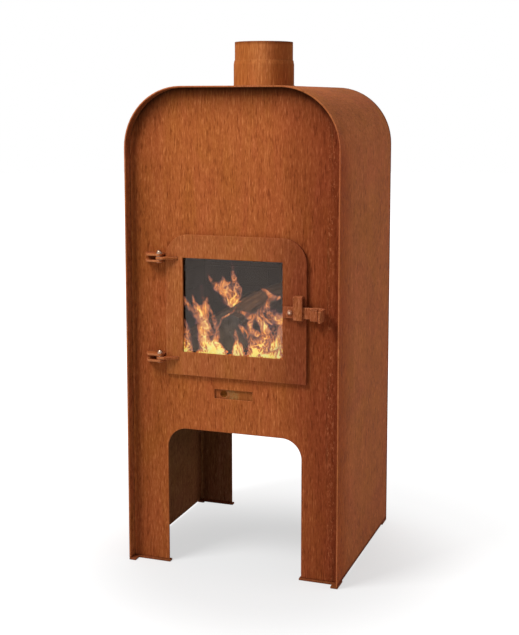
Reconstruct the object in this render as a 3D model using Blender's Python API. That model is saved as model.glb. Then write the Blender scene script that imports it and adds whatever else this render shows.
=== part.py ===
"""Patio stove of weathering steel, as an assembly of separate pieces.

Metres, +Z up, front towards -Y. The stove stands on z = 0, and the origin lies under the middle
of its bounding box. Run it with blender --background --python part.py, or from the text editor.
"""

import math

import bmesh
import bpy
from mathutils import Matrix, Vector

# Casing: a bent shell with a set-back plate in front and behind
CASING_WIDTH = 0.550
CASING_DEPTH = 0.500
CASING_TOP = 1.197
CORNER_RADIUS = 0.150
SHEET = 0.004
FRONT_RECESS = 0.026
BACK_RECESS = 0.026
LEG_WIDTH = 0.100
ARCH_RADIUS = 0.050

# Gaps: at a weld or a seat, round a running part, and how far a cutter runs past what it cuts
SEAM = 0.0003
PLAY = 0.0004
OVERRUN = 0.010
MERGE = 0.000001
EDGE_BREAK = 0.0005

# Foot plates under the leg ends
FOOT_THICK = 0.005
FOOT_PROUD = 0.005
FOOT_OVERHANG = 0.004
FOOT_TAB_WIDTH = 0.018
FOOT_TAB_BEHIND = 0.010

# Flue spigot and the collar round its lower half
FLUE_RADIUS = 0.074
FLUE_WALL = 0.003
FLUE_RISE = 0.112
FLUE_DIP = 0.010
COLLAR_WALL = 0.0027
COLLAR_RISE = 0.066
COLLAR_TAPER = 0.010
COLLAR_LIP = 0.0009

# Window and door plate
WINDOW_TO_SIDE = 0.142
WINDOW_BELOW_TOP = 0.4165
WINDOW_HEIGHT = 0.2345
BORDER_HINGE_SIDE = 0.0455
BORDER_LATCH_SIDE = 0.060
BORDER_TOP = 0.0575
BORDER_BOTTOM = 0.058
DOOR_SHEET = 0.005
DOOR_RADIUS = 0.060

# Door opening in the front plate and the flat rope seal round it
OPENING_SIDE_MARGIN = 0.017
OPENING_END_MARGIN = 0.032
OPENING_RADIUS = 0.030
SEAL_THICK = 0.003
SEAL_WIDTH = 0.010
SEAL_INSET = 0.006

# Glass, its gasket, and the strips and screws that hold it
GLASS_LAP = 0.010
GLASS_THICK = 0.004
GASKET_THICK = 0.002
GASKET_INSET = 0.001
STRIP_TO_WINDOW_SIDE = 0.029
STRIP_SHEET = 0.002
STRIP_LIP = 0.008
STRIP_FOOT = 0.012
STRIP_SIDE_GAP = 0.0015
STRIP_SCREW_INSET = 0.025
SCREW_RADIUS = 0.0025
SCREW_HEAD_RADIUS = 0.0045
SCREW_HEAD_HEIGHT = 0.0028
SCREW_DEPTH = 0.0035

# Hinges
PIN_TO_DOOR = 0.0125
PIN_STANDOFF = 0.018
HINGE_BELOW_TOP = 0.059
HINGE_ABOVE_BOTTOM = 0.042
HINGE_BOLT_RADIUS = 0.004
EAR_THICK = 0.005
EAR_BASE = 0.044
EAR_FRONT = 0.032
EAR_CORNER = 0.008
LEAF_THICK = 0.006
LEAF_LENGTH = 0.046
LEAF_SHOULDER = 0.014
LEAF_TIP = 0.0015
LEAF_BLEND = 0.030
WASHER_THICK = 0.0016
WASHER_RADIUS = 0.008
NUT_FLATS = 0.013
NUT_HEX_HEIGHT = 0.003
NUT_DOME_RADIUS = 0.0062
BOLT_GRIP = 0.005
BOLT_HEAD_RADIUS = 0.0068
BOLT_HEAD_HEIGHT = 0.0026

# Latch: lever, pivot screw, guide strap and keeper
PIVOT_FROM_EDGE = 0.039
BAR_HEIGHT = 0.027
BAR_TAIL = 0.0175
BAR_CORNER = 0.004
BAR_THICK = 0.006
BAR_PAST_EDGE = 0.049
HANDLE_REACH = 0.042
HANDLE_BEND = 0.003
PIVOT_RADIUS = 0.004
PIVOT_HEAD_RADIUS = 0.0068
PIVOT_HEAD_HEIGHT = 0.0042
PIVOT_WASHER_THICK = 0.0015
PIVOT_WASHER_RADIUS = 0.009
STRAP_FROM_EDGE = 0.0182
STRAP_WIDTH = 0.0225
STRAP_SHEET = 0.005
STRAP_OPENING = 0.0485
KEEPER_PAST_EDGE = 0.0215
KEEPER_WIDTH = 0.018
KEEPER_SHEET = 0.004
KEEPER_LIP = 0.025
KEEPER_FLARE = 0.002

# Air slot, slide and runners
SLOT_WIDTH = 0.099
SLOT_HEIGHT = 0.023
SLOT_BELOW_DOOR = 0.031
SLOT_RADIUS = 0.002
SLIDE_LAP = 0.0065
SLIDE_SHEET = 0.003
FINGER_RADIUS = 0.009
FINGER_FROM_MIDDLE = 0.027
FINGER_MARGIN = 0.0015
RUNNER_SHEET = 0.002
RUNNER_LIP = 0.004
RUNNER_FOOT = 0.005
STOP_WIDTH = 0.006

# Floors, boards, grate, ash pan and baffle inside
ARCH_BELOW_SLOT = 0.0845
FLOOR_ABOVE_ARCH = 0.006
FLOOR_SHEET = 0.004
HEARTH_BELOW_OPENING = 0.0147
BOARD = 0.025
LINER_ABOVE_DOOR = 0.062
GRATE_OPENING_WIDTH = 0.200
GRATE_OPENING_DEPTH = 0.160
GRATE_LAP = 0.014
GRATE_THICK = 0.012
GRATE_PLAY = 0.002
GRATE_SLOTS = 9
GRATE_SLOT_WIDTH = 0.010
GRATE_SLOT_LENGTH = 0.150
GRATE_SLOT_RADIUS = 0.0045
PAN_CLEARANCE = 0.007
PAN_HEIGHT = 0.048
PAN_SHEET = 0.0015
PAN_LIP = 0.004
PAN_RADIUS = 0.012
ANGLE_LEG = 0.025
ANGLE_SHEET = 0.003
ANGLE_GAP = 0.070
BAFFLE_SHEET = 0.005
BAFFLE_GAP = 0.120
BAFFLE_LIP = 0.015

# Segments of a large quarter arc, a small one and a full circle
LARGE_ARC = 16
SMALL_ARC = 6
PIPE_STEPS = 64
BOLT_STEPS = 24
SCREW_STEPS = 16

# Casing planes
HALF_WIDTH = CASING_WIDTH / 2
INNER_HALF = HALF_WIDTH - SHEET
SHELL_FRONT = -CASING_DEPTH / 2
SHELL_BACK = CASING_DEPTH / 2
FACE = SHELL_FRONT + FRONT_RECESS
FACE_INSIDE = FACE + SHEET
REAR = SHELL_BACK - BACK_RECESS
REAR_INSIDE = REAR - SHEET
SOLE = FOOT_THICK + SEAM
ROOF_INSIDE = CASING_TOP - SHEET

# Door edges and planes, from the window outwards
WINDOW_HALF = INNER_HALF - WINDOW_TO_SIDE
WINDOW_TOP = CASING_TOP - WINDOW_BELOW_TOP
WINDOW_BOTTOM = WINDOW_TOP - WINDOW_HEIGHT
DOOR_LEFT = -WINDOW_HALF - BORDER_HINGE_SIDE
DOOR_RIGHT = WINDOW_HALF + BORDER_LATCH_SIDE
DOOR_BOTTOM = WINDOW_BOTTOM - BORDER_BOTTOM
DOOR_TOP = WINDOW_TOP + BORDER_TOP
DOOR_MIDDLE = (DOOR_BOTTOM + DOOR_TOP) / 2
DOOR_BACK = FACE - SEAL_THICK - 2 * SEAM
DOOR_FRONT = DOOR_BACK - DOOR_SHEET
OPENING_HALF = WINDOW_HALF + OPENING_SIDE_MARGIN
OPENING_BOTTOM = WINDOW_BOTTOM - OPENING_END_MARGIN
OPENING_TOP = WINDOW_TOP + OPENING_END_MARGIN
GLASS_FRONT = DOOR_BACK + GASKET_THICK + 2 * SEAM
GLASS_BACK = GLASS_FRONT + GLASS_THICK

# Hinge places
PIN_X = DOOR_LEFT - PIN_TO_DOOR
PIN_Y = FACE - PIN_STANDOFF
NOSE = DOOR_FRONT - PIN_Y - SEAM
UPPER_HINGE = DOOR_TOP - HINGE_BELOW_TOP
LOWER_HINGE = DOOR_BOTTOM + HINGE_ABOVE_BOTTOM
EAR_INSIDE = LEAF_THICK / 2 + WASHER_THICK + 2 * SEAM
EAR_OUTSIDE = EAR_INSIDE + EAR_THICK

# Latch places
PIVOT_X = DOOR_RIGHT - PIVOT_FROM_EDGE
BAR_BACK = DOOR_FRONT - PIVOT_WASHER_THICK - 2 * SEAM
BAR_FRONT = BAR_BACK - BAR_THICK
BAR_BOTTOM = DOOR_MIDDLE - BAR_HEIGHT / 2
BAR_TOP = DOOR_MIDDLE + BAR_HEIGHT / 2
BAR_END = DOOR_RIGHT + BAR_PAST_EDGE
HANDLE_TIP = BAR_FRONT - HANDLE_REACH

# Air slide places
SLOT_TOP = DOOR_BOTTOM - SLOT_BELOW_DOOR
SLOT_BOTTOM = SLOT_TOP - SLOT_HEIGHT
SLIDE_TOP = SLOT_TOP + SLIDE_LAP
SLIDE_BOTTOM = SLOT_BOTTOM - SLIDE_LAP
SLIDE_HALF = SLOT_WIDTH / 2 + SLIDE_LAP
SLIDE_TRAVEL = SLOT_WIDTH / 2 - FINGER_RADIUS - FINGER_MARGIN + FINGER_FROM_MIDDLE

# Leg arch, and levels inside
ARCH_HALF = HALF_WIDTH - LEG_WIDTH
ARCH_TOP = SLOT_BOTTOM - ARCH_BELOW_SLOT
CASING_FLOOR = ARCH_TOP + FLOOR_ABOVE_ARCH
PAN_FLOOR = CASING_FLOOR + FLOOR_SHEET + SEAM
HEARTH_TOP = OPENING_BOTTOM - HEARTH_BELOW_OPENING
HEARTH_BOTTOM = HEARTH_TOP - BOARD
FIREBOX_FLOOR = HEARTH_BOTTOM - SEAM - FLOOR_SHEET
LINER_TOP = DOOR_TOP + LINER_ABOVE_DOOR
INSIDE_FRONT = FACE_INSIDE + SEAM
INSIDE_BACK = REAR_INSIDE - SEAM
INSIDE_HALF = INNER_HALF - SEAM
HEARTH_HALF = INSIDE_HALF - BOARD - SEAM
HEARTH_BACK = INSIDE_BACK - BOARD - SEAM
HEARTH_MIDDLE = (INSIDE_FRONT + HEARTH_BACK) / 2

# The handle stands out in front, so the casing's middle lies a little behind the origin
CASING_MIDDLE = (SHELL_FRONT - HANDLE_TIP) / 2


def srgb(red, green, blue):
    """Linear colour of an 8-bit one."""
    def linear(value):
        share = value / 255
        return share / 12.92 if share <= 0.04045 else ((share + 0.055) / 1.055) ** 2.4
    return (linear(red), linear(green), linear(blue), 1.0)


# Colour, roughness and metallic value of each material
FINISHES = {
    "corten_face": (srgb(160, 88, 46), 0.78, 0.15),
    "corten_shell": (srgb(128, 72, 41), 0.74, 0.2),
    "corten_fitting": (srgb(146, 80, 45), 0.72, 0.2),
    "raw_steel": (srgb(74, 66, 60), 0.6, 0.7),
    "stainless": (srgb(196, 194, 190), 0.28, 1.0),
    "cast_iron": (srgb(52, 49, 47), 0.7, 0.5),
    "fire_board": (srgb(150, 132, 106), 0.95, 0.0),
    "rope_seal": (srgb(60, 58, 56), 0.95, 0.0),
    "dark_glass": (srgb(62, 62, 62), 0.08, 0.0),
}


def material(name):
    """The named finish as a material, made once."""
    found = bpy.data.materials.get(name)
    if found:
        return found
    colour, roughness, metallic = FINISHES[name]
    made = bpy.data.materials.new(name)
    made.use_nodes = True
    shader = made.node_tree.nodes["Principled BSDF"]
    shader.inputs["Base Color"].default_value = colour
    shader.inputs["Roughness"].default_value = roughness
    shader.inputs["Metallic"].default_value = metallic
    made.diffuse_color = colour
    return made


def rounded(corners, steps=SMALL_ARC):
    """Closed outline through (u, v, radius) corners, each corner turned into an arc of its radius."""
    points = []
    for index, (u, v, radius) in enumerate(corners):
        corner = Vector((u, v))
        if radius == 0:
            points.append(corner)
            continue
        before = (Vector(corners[index - 1][:2]) - corner).normalized()
        after = (Vector(corners[(index + 1) % len(corners)][:2]) - corner).normalized()
        half = before.angle(after) / 2
        middle = corner + (before + after).normalized() * (radius / math.sin(half))
        start = corner + before * (radius / math.tan(half)) - middle
        end = corner + after * (radius / math.tan(half)) - middle
        first = math.atan2(start.y, start.x)
        turn = math.atan2(end.y, end.x) - first
        turn = (turn + math.pi) % (2 * math.pi) - math.pi
        for step in range(steps + 1):
            angle = first + turn * step / steps
            points.append(middle + Vector((math.cos(angle), math.sin(angle))) * radius)
    behind = points[-1:] + points
    return [point for point, last in zip(points, behind) if (point - last).length > MERGE]


def box_outline(left, right, bottom, top, lower_radius=0, upper_radius=0, steps=SMALL_ARC):
    """Rectangle with one radius for both lower corners and one for both upper corners."""
    corners = [
        (left, bottom, lower_radius),
        (left, top, upper_radius),
        (right, top, upper_radius),
        (right, bottom, lower_radius),
    ]
    return rounded(corners, steps)


def circle(u, v, radius, steps=BOLT_STEPS):
    """Outline of a circle about (u, v)."""
    turns = (2 * math.pi * step / steps for step in range(steps))
    return [Vector((u + radius * math.cos(turn), v + radius * math.sin(turn))) for turn in turns]


def place(axis, point, along):
    """Point in space of an outline's (u, v) and its place along the axis that it is extruded on."""
    if axis == "X":
        return Vector((along, point[0], point[1]))
    if axis == "Y":
        return Vector((point[0], along, point[1]))
    return Vector((point[0], point[1], along))


def new_object(name, form, finish):
    """Object of this bmesh, with its material, in the casing's own axes."""
    bmesh.ops.recalc_face_normals(form, faces=form.faces)
    mesh = bpy.data.meshes.new(name)
    form.to_mesh(mesh)
    form.free()
    made = bpy.data.objects.new(name, mesh)
    bpy.context.scene.collection.objects.link(made)
    made.parent = bpy.data.objects["casing_middle"]
    if finish:
        mesh.materials.append(material(finish))
    return made


def extrude(form, faces, axis, length):
    """Extrudes flat faces along the axis."""
    grown = bmesh.ops.extrude_face_region(form, geom=faces)
    moved = [item for item in grown["geom"] if isinstance(item, bmesh.types.BMVert)]
    bmesh.ops.translate(form, verts=moved, vec=place(axis, (0, 0), length))


def prism(name, outline, axis, start, end, finish=None):
    """Solid of one outline, from start to end along the axis."""
    form = bmesh.new()
    face = form.faces.new([form.verts.new(place(axis, point, start)) for point in outline])
    extrude(form, [face], axis, end - start)
    return new_object(name, form, finish)


def ring(name, outer, inner, axis, start, end, finish):
    """Frame between two outlines that have the same number of points."""
    form = bmesh.new()
    outside = [form.verts.new(place(axis, point, start)) for point in outer]
    inside = [form.verts.new(place(axis, point, start)) for point in inner]
    faces = []
    for index in range(len(outside)):
        after = (index + 1) % len(outside)
        faces.append(form.faces.new((outside[index], outside[after], inside[after], inside[index])))
    extrude(form, faces, axis, end - start)
    return new_object(name, form, finish)


def turned(name, profile, centre, direction, finish, steps):
    """Solid of revolution of (radius, height) points, its height pointing in the direction."""
    form = bmesh.new()
    verts = [form.verts.new((radius, 0, height)) for radius, height in profile]
    edges = [form.edges.new(pair) for pair in zip(verts, verts[1:])]
    if profile[0][0] > 0:
        edges.append(form.edges.new((verts[-1], verts[0])))
    bmesh.ops.spin(
        form,
        geom=verts + edges,
        cent=(0, 0, 0),
        axis=(0, 0, 1),
        angle=2 * math.pi,
        steps=steps,
        use_merge=True,
    )
    bmesh.ops.remove_doubles(form, verts=form.verts, dist=MERGE)
    quarter = {"up": 0, "front": math.pi / 2, "back": -math.pi / 2}[direction]
    turn = Matrix.Rotation(quarter, 4, "X")
    bmesh.ops.transform(form, matrix=Matrix.Translation(centre) @ turn, verts=form.verts)
    return smooth(new_object(name, form, finish))


def smooth(target, angle=math.radians(40)):
    """Shades the round parts smooth and keeps edges sharper than the angle."""
    target.data.shade_smooth()
    target.data.set_sharp_from_angle(angle=angle)
    return target


def combine(target, other, operation):
    """Boolean of the target with a helper object that isn't part of the model."""
    modifier = target.modifiers.new(other.name, "BOOLEAN")
    modifier.operation = operation
    modifier.solver = "EXACT"
    modifier.object = other
    other.hide_render = True
    other.display_type = "WIRE"
    other.parent = target
    return target


def break_edges(target, width=EDGE_BREAK):
    """Small chamfer on every sharp edge, as on cut and deburred sheet."""
    modifier = target.modifiers.new("edge_break", "BEVEL")
    modifier.width = width
    modifier.segments = 1
    modifier.limit_method = "ANGLE"
    modifier.angle_limit = math.radians(40)
    modifier.use_clamp_overlap = True
    target.modifiers.new("flat_shading", "WEIGHTED_NORMAL").keep_sharp = True
    return target


def bore(target, label, axis, u, v, radius, start, end, steps=BOLT_STEPS):
    """Round hole along the axis from start to end."""
    cutter = prism(label, circle(u, v, radius, steps), axis, start, end)
    return combine(target, cutter, "DIFFERENCE")


def make_axis(name, x, y, z, parent=None):
    """Empty that marks a joint's axis or the casing's middle."""
    empty = bpy.data.objects.new(name, None)
    empty.empty_display_size = CASING_WIDTH / 10
    empty.location = (x, y, z)
    empty.parent = parent
    bpy.context.scene.collection.objects.link(empty)
    return empty


def hang_on(empty, pieces):
    """Puts the pieces, modelled in the casing's axes, under an empty on their joint's axis."""
    for piece in pieces:
        for item in [piece, *piece.children]:
            item.data.transform(Matrix.Translation(-empty.location))
        piece.parent = empty


def make_outer_shell():
    """One sheet bent over the top, open in front and behind, with the flue hole in its roof."""
    inner_radius = CORNER_RADIUS - SHEET
    corners = [
        (-HALF_WIDTH, SOLE, 0),
        (-HALF_WIDTH, CASING_TOP, CORNER_RADIUS),
        (HALF_WIDTH, CASING_TOP, CORNER_RADIUS),
        (HALF_WIDTH, SOLE, 0),
        (INNER_HALF, SOLE, 0),
        (INNER_HALF, ROOF_INSIDE, inner_radius),
        (-INNER_HALF, ROOF_INSIDE, inner_radius),
        (-INNER_HALF, SOLE, 0),
    ]
    band = rounded(corners, LARGE_ARC)
    shell = prism("outer_shell", band, "Y", SHELL_FRONT, SHELL_BACK, "corten_shell")
    hole_bottom = ROOF_INSIDE - OVERRUN
    hole_top = CASING_TOP + OVERRUN
    hole_radius = FLUE_RADIUS + SEAM
    bore(shell, "flue_hole", "Z", 0, 0, hole_radius, hole_bottom, hole_top, PIPE_STEPS)
    break_edges(shell)
    smooth(shell)


def plate_outline():
    """Outline shared by the front and back plates: round shoulders above, leg arch below."""
    half = INNER_HALF - SEAM
    top = ROOF_INSIDE - SEAM
    shoulder = CORNER_RADIUS - SHEET - SEAM
    corners = [
        (-half, SOLE, 0),
        (-half, top, shoulder),
        (half, top, shoulder),
        (half, SOLE, 0),
        (ARCH_HALF, SOLE, 0),
        (ARCH_HALF, ARCH_TOP, ARCH_RADIUS),
        (-ARCH_HALF, ARCH_TOP, ARCH_RADIUS),
        (-ARCH_HALF, SOLE, 0),
    ]
    return rounded(corners, LARGE_ARC)


def opening_outline(grow):
    """Door opening in the front plate, grown outwards by a margin."""
    half = OPENING_HALF + grow
    bottom = OPENING_BOTTOM - grow
    top = OPENING_TOP + grow
    return box_outline(-half, half, bottom, top, 0, OPENING_RADIUS + grow)


def make_plates():
    """Front plate with the door opening and the air slot, and the plain back plate."""
    front = prism("front_plate", plate_outline(), "Y", FACE, FACE_INSIDE, "corten_face")
    start = FACE - OVERRUN
    end = FACE_INSIDE + OVERRUN
    combine(front, prism("opening_cut", opening_outline(0), "Y", start, end), "DIFFERENCE")
    slot_half = SLOT_WIDTH / 2
    slot = box_outline(-slot_half, slot_half, SLOT_BOTTOM, SLOT_TOP, SLOT_RADIUS, SLOT_RADIUS)
    combine(front, prism("slot_cut", slot, "Y", start, end), "DIFFERENCE")
    break_edges(front)
    smooth(front)
    back = prism("back_plate", plate_outline(), "Y", REAR_INSIDE, REAR, "corten_face")
    break_edges(back)
    smooth(back)


def make_foot_plates():
    """Bar under each leg of the front and back plates, with a tab under the shell's corner."""
    inner = ARCH_HALF - FOOT_OVERHANG
    tab = HALF_WIDTH - FOOT_TAB_WIDTH
    for place_name, outward, sheet_face, edge in (
        ("front", -1, FACE, SHELL_FRONT),
        ("back", 1, REAR, SHELL_BACK),
    ):
        outer_y = sheet_face + outward * FOOT_PROUD
        inner_y = sheet_face - outward * (SHEET + FOOT_PROUD)
        tab_y = inner_y - outward * FOOT_TAB_BEHIND
        for side_name, side in (("left", -1), ("right", 1)):
            corners = [
                (inner, outer_y),
                (tab, outer_y),
                (tab, edge),
                (HALF_WIDTH, edge),
                (HALF_WIDTH, tab_y),
                (tab, tab_y),
                (tab, inner_y),
                (inner, inner_y),
            ]
            outline = [(side * x, y) for x, y in corners]
            name = f"foot_plate_{place_name}_{side_name}"
            break_edges(prism(name, outline, "Z", 0, FOOT_THICK, "corten_fitting"))


def make_flue():
    """Spigot through the roof, and the collar round its lower half with a tapered top."""
    inner = FLUE_RADIUS - FLUE_WALL
    bottom = ROOF_INSIDE - FLUE_DIP
    top = CASING_TOP + FLUE_RISE
    pipe = [(inner, bottom), (FLUE_RADIUS, bottom), (FLUE_RADIUS, top), (inner, top)]
    turned("flue_spigot", pipe, (0, 0, 0), "up", "corten_face", PIPE_STEPS)
    bore_radius = FLUE_RADIUS + SEAM
    outer = bore_radius + COLLAR_WALL
    seat = CASING_TOP + SEAM
    rim = CASING_TOP + COLLAR_RISE
    taper = rim - COLLAR_TAPER
    lip = bore_radius + COLLAR_LIP
    collar = [(bore_radius, seat), (outer, seat), (outer, taper), (lip, rim), (bore_radius, rim)]
    turned("flue_collar", collar, (0, 0, 0), "up", "corten_face", PIPE_STEPS)


def make_floors():
    """Casing floor above the leg arch, and the firebox floor with the grate's opening."""
    footprint = box_outline(-INSIDE_HALF, INSIDE_HALF, INSIDE_FRONT, INSIDE_BACK)
    floor_top = CASING_FLOOR + FLOOR_SHEET
    prism("casing_floor", footprint, "Z", CASING_FLOOR, floor_top, "raw_steel")
    top = FIREBOX_FLOOR + FLOOR_SHEET
    floor = prism("firebox_floor", footprint, "Z", FIREBOX_FLOOR, top, "raw_steel")
    hole = centred_outline(GRATE_OPENING_WIDTH, GRATE_OPENING_DEPTH, PAN_RADIUS)
    start = FIREBOX_FLOOR - OVERRUN
    combine(floor, prism("ash_hole", hole, "Z", start, top + OVERRUN), "DIFFERENCE")


def centred_outline(width, depth, radius):
    """Rectangle about the middle of the hearth."""
    half_width = width / 2
    front = HEARTH_MIDDLE - depth / 2
    back = HEARTH_MIDDLE + depth / 2
    return box_outline(-half_width, half_width, front, back, radius, radius)


def make_boards():
    """Fireproof boards: hearth with a hole for the grate, two side liners and the back liner."""
    hearth_outline = box_outline(-HEARTH_HALF, HEARTH_HALF, INSIDE_FRONT, HEARTH_BACK)
    hearth = prism("hearth_board", hearth_outline, "Z", HEARTH_BOTTOM, HEARTH_TOP, "fire_board")
    width = GRATE_OPENING_WIDTH + 2 * (GRATE_LAP + GRATE_PLAY)
    depth = GRATE_OPENING_DEPTH + 2 * (GRATE_LAP + GRATE_PLAY)
    hole = centred_outline(width, depth, PAN_RADIUS)
    start = HEARTH_BOTTOM - OVERRUN
    combine(hearth, prism("hearth_hole", hole, "Z", start, HEARTH_TOP + OVERRUN), "DIFFERENCE")
    board_start = HEARTH_BOTTOM
    inner = INSIDE_HALF - BOARD
    for name, left, right in (
        ("liner_left", -INSIDE_HALF, -inner),
        ("liner_right", inner, INSIDE_HALF),
    ):
        side = box_outline(left, right, INSIDE_FRONT, INSIDE_BACK)
        break_edges(prism(name, side, "Z", board_start, LINER_TOP, "fire_board"))
    rear = box_outline(-HEARTH_HALF, HEARTH_HALF, HEARTH_BACK + SEAM, INSIDE_BACK)
    break_edges(prism("liner_back", rear, "Z", board_start, LINER_TOP, "fire_board"))


def make_grate():
    """Loose slotted grate that rests on the rim of the opening in the firebox floor."""
    width = GRATE_OPENING_WIDTH + 2 * GRATE_LAP
    depth = GRATE_OPENING_DEPTH + 2 * GRATE_LAP
    top = HEARTH_BOTTOM + GRATE_THICK
    outline = centred_outline(width, depth, PAN_RADIUS)
    grate = prism("fire_grate", outline, "Z", HEARTH_BOTTOM, top, "cast_iron")
    pitch = GRATE_OPENING_WIDTH / GRATE_SLOTS
    radius = GRATE_SLOT_RADIUS
    front = HEARTH_MIDDLE - GRATE_SLOT_LENGTH / 2
    back = HEARTH_MIDDLE + GRATE_SLOT_LENGTH / 2
    form = bmesh.new()
    for slot in range(GRATE_SLOTS):
        middle = (slot - (GRATE_SLOTS - 1) / 2) * pitch
        left = middle - GRATE_SLOT_WIDTH / 2
        right = middle + GRATE_SLOT_WIDTH / 2
        hole = box_outline(left, right, front, back, radius, radius, SMALL_ARC // 2)
        start = HEARTH_BOTTOM - OVERRUN
        face = form.faces.new([form.verts.new(place("Z", point, start)) for point in hole])
        extrude(form, [face], "Z", GRATE_THICK + 2 * OVERRUN)
    combine(grate, new_object("grate_slots", form, None), "DIFFERENCE")
    smooth(grate)


def make_ash_pan():
    """Loose tray below the grate. It lifts out through the grate's opening."""
    width = GRATE_OPENING_WIDTH - 2 * PAN_CLEARANCE
    depth = GRATE_OPENING_DEPTH - 2 * PAN_CLEARANCE
    rings = []
    lip = 2 * PAN_LIP
    inside = 2 * PAN_SHEET
    top = PAN_FLOOR + PAN_HEIGHT
    under_lip = top - PAN_SHEET
    inside_floor = PAN_FLOOR + PAN_SHEET
    for grow, level in (
        (0, PAN_FLOOR),
        (0, under_lip),
        (lip, under_lip),
        (lip, top),
        (-inside, top),
        (-inside, inside_floor),
    ):
        rings.append((centred_outline(width + grow, depth + grow, PAN_RADIUS + grow / 2), level))
    form = bmesh.new()
    loops = [[form.verts.new(place("Z", point, z)) for point in outline] for outline, z in rings]
    for lower, upper in zip(loops, loops[1:]):
        for index in range(len(lower)):
            after = (index + 1) % len(lower)
            form.faces.new((lower[index], lower[after], upper[after], upper[index]))
    form.faces.new(loops[0])
    form.faces.new(loops[-1])
    smooth(new_object("ash_pan", form, "raw_steel"))


def make_baffle():
    """Two angle bars on the shell's sides, and the loose baffle plate on them."""
    seat = LINER_TOP + SEAM
    wall = INNER_HALF - SEAM
    start = INSIDE_FRONT + ANGLE_GAP
    for name, side in (("baffle_angle_left", -1), ("baffle_angle_right", 1)):
        profile = [
            (side * wall, seat),
            (side * (wall - ANGLE_LEG), seat),
            (side * (wall - ANGLE_LEG), seat + ANGLE_SHEET),
            (side * (wall - ANGLE_SHEET), seat + ANGLE_SHEET),
            (side * (wall - ANGLE_SHEET), seat + ANGLE_LEG),
            (side * wall, seat + ANGLE_LEG),
        ]
        prism(name, profile, "Y", start, INSIDE_BACK, "raw_steel")
    half = wall - ANGLE_SHEET - PLAY
    under = seat + ANGLE_SHEET + SEAM
    front = INSIDE_FRONT + BAFFLE_GAP
    profile = [
        (front, under),
        (INSIDE_BACK, under),
        (INSIDE_BACK, under + BAFFLE_SHEET),
        (front + BAFFLE_SHEET, under + BAFFLE_SHEET),
        (front + BAFFLE_SHEET, under + BAFFLE_LIP),
        (front, under + BAFFLE_LIP),
    ]
    prism("baffle_plate", profile, "X", -half, half, "raw_steel")


def window_outline(grow):
    """Window opening grown outwards by a margin."""
    half = WINDOW_HALF + grow
    return box_outline(-half, half, WINDOW_BOTTOM - grow, WINDOW_TOP + grow)


def make_door_plate():
    """Door plate with the window and the hole of the latch screw."""
    outline = box_outline(DOOR_LEFT, DOOR_RIGHT, DOOR_BOTTOM, DOOR_TOP, 0, DOOR_RADIUS, LARGE_ARC)
    plate = prism("door_plate", outline, "Y", DOOR_FRONT, DOOR_BACK, "corten_face")
    start = DOOR_FRONT - OVERRUN
    end = DOOR_BACK + OVERRUN
    combine(plate, prism("window_cut", window_outline(0), "Y", start, end), "DIFFERENCE")
    hole = PIVOT_RADIUS + SEAM
    return bore(plate, "latch_screw_hole", "Y", PIVOT_X, DOOR_MIDDLE, hole, start, end)


def make_glass():
    """Ceramic glass behind the window, and the flat gasket between it and the door plate."""
    pane = window_outline(GLASS_LAP)
    glass = prism("door_glass", pane, "Y", GLASS_FRONT, GLASS_BACK, "dark_glass")
    outer = window_outline(GLASS_LAP - GASKET_INSET)
    inner = window_outline(GASKET_INSET)
    start = DOOR_BACK + SEAM
    end = start + GASKET_THICK
    return [glass, ring("glass_gasket", outer, inner, "Y", start, end, "rope_seal")]


def make_seal():
    """Flat rope seal on the door's back, round the door opening in the front plate."""
    outer = opening_outline(SEAL_INSET + SEAL_WIDTH)
    inner = opening_outline(SEAL_INSET)
    start = DOOR_BACK + SEAM
    return ring("door_seal", outer, inner, "Y", start, start + SEAL_THICK, "rope_seal")


def make_door():
    """Door plate with everything that is fastened behind it."""
    plate = make_door_plate()
    pieces = [plate, make_seal()] + make_glass()
    pieces += make_glass_strip(plate, "top", WINDOW_TOP + GLASS_LAP, 1)
    pieces += make_glass_strip(plate, "bottom", WINDOW_BOTTOM - GLASS_LAP, -1)
    break_edges(plate)
    smooth(plate)
    return pieces


def make_glass_strip(plate, name, edge, outward):
    """Z-shaped strip over one edge of the glass, with two screws into blind holes in the door."""
    foot_front = DOOR_BACK + SEAM
    foot_back = foot_front + STRIP_SHEET
    lip_front = GLASS_BACK + SEAM
    lip_back = lip_front + STRIP_SHEET
    web = edge + outward * STRIP_SIDE_GAP
    shoulder = web + outward * STRIP_SHEET
    foot_end = shoulder + outward * STRIP_FOOT
    lip_end = edge - outward * STRIP_LIP
    profile = [
        (foot_front, web),
        (foot_front, foot_end),
        (foot_back, foot_end),
        (foot_back, shoulder),
        (lip_back, shoulder),
        (lip_back, lip_end),
        (lip_front, lip_end),
        (lip_front, web),
    ]
    half = WINDOW_HALF - STRIP_TO_WINDOW_SIDE
    strip = prism(f"glass_strip_{name}", profile, "X", -half, half, "raw_steel")
    level = shoulder + outward * STRIP_FOOT / 2
    pieces = [strip]
    for side_name, x in (("left", STRIP_SCREW_INSET - half), ("right", half - STRIP_SCREW_INSET)):
        hole = SCREW_RADIUS + SEAM
        label = f"{name}_{side_name}"
        clear_start = foot_front - OVERRUN
        clear_end = foot_back + OVERRUN
        clear = (x, level, hole, clear_start, clear_end, SCREW_STEPS)
        bore(strip, f"strip_hole_{label}", "Y", *clear)
        blind = (x, level, hole, DOOR_BACK - SCREW_DEPTH - SEAM, DOOR_BACK + OVERRUN, SCREW_STEPS)
        bore(plate, f"thread_{label}", "Y", *blind)
        pieces.append(make_glass_screw(f"glass_screw_{label}", x, level, foot_back + SEAM))
    smooth(strip)
    return pieces


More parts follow.
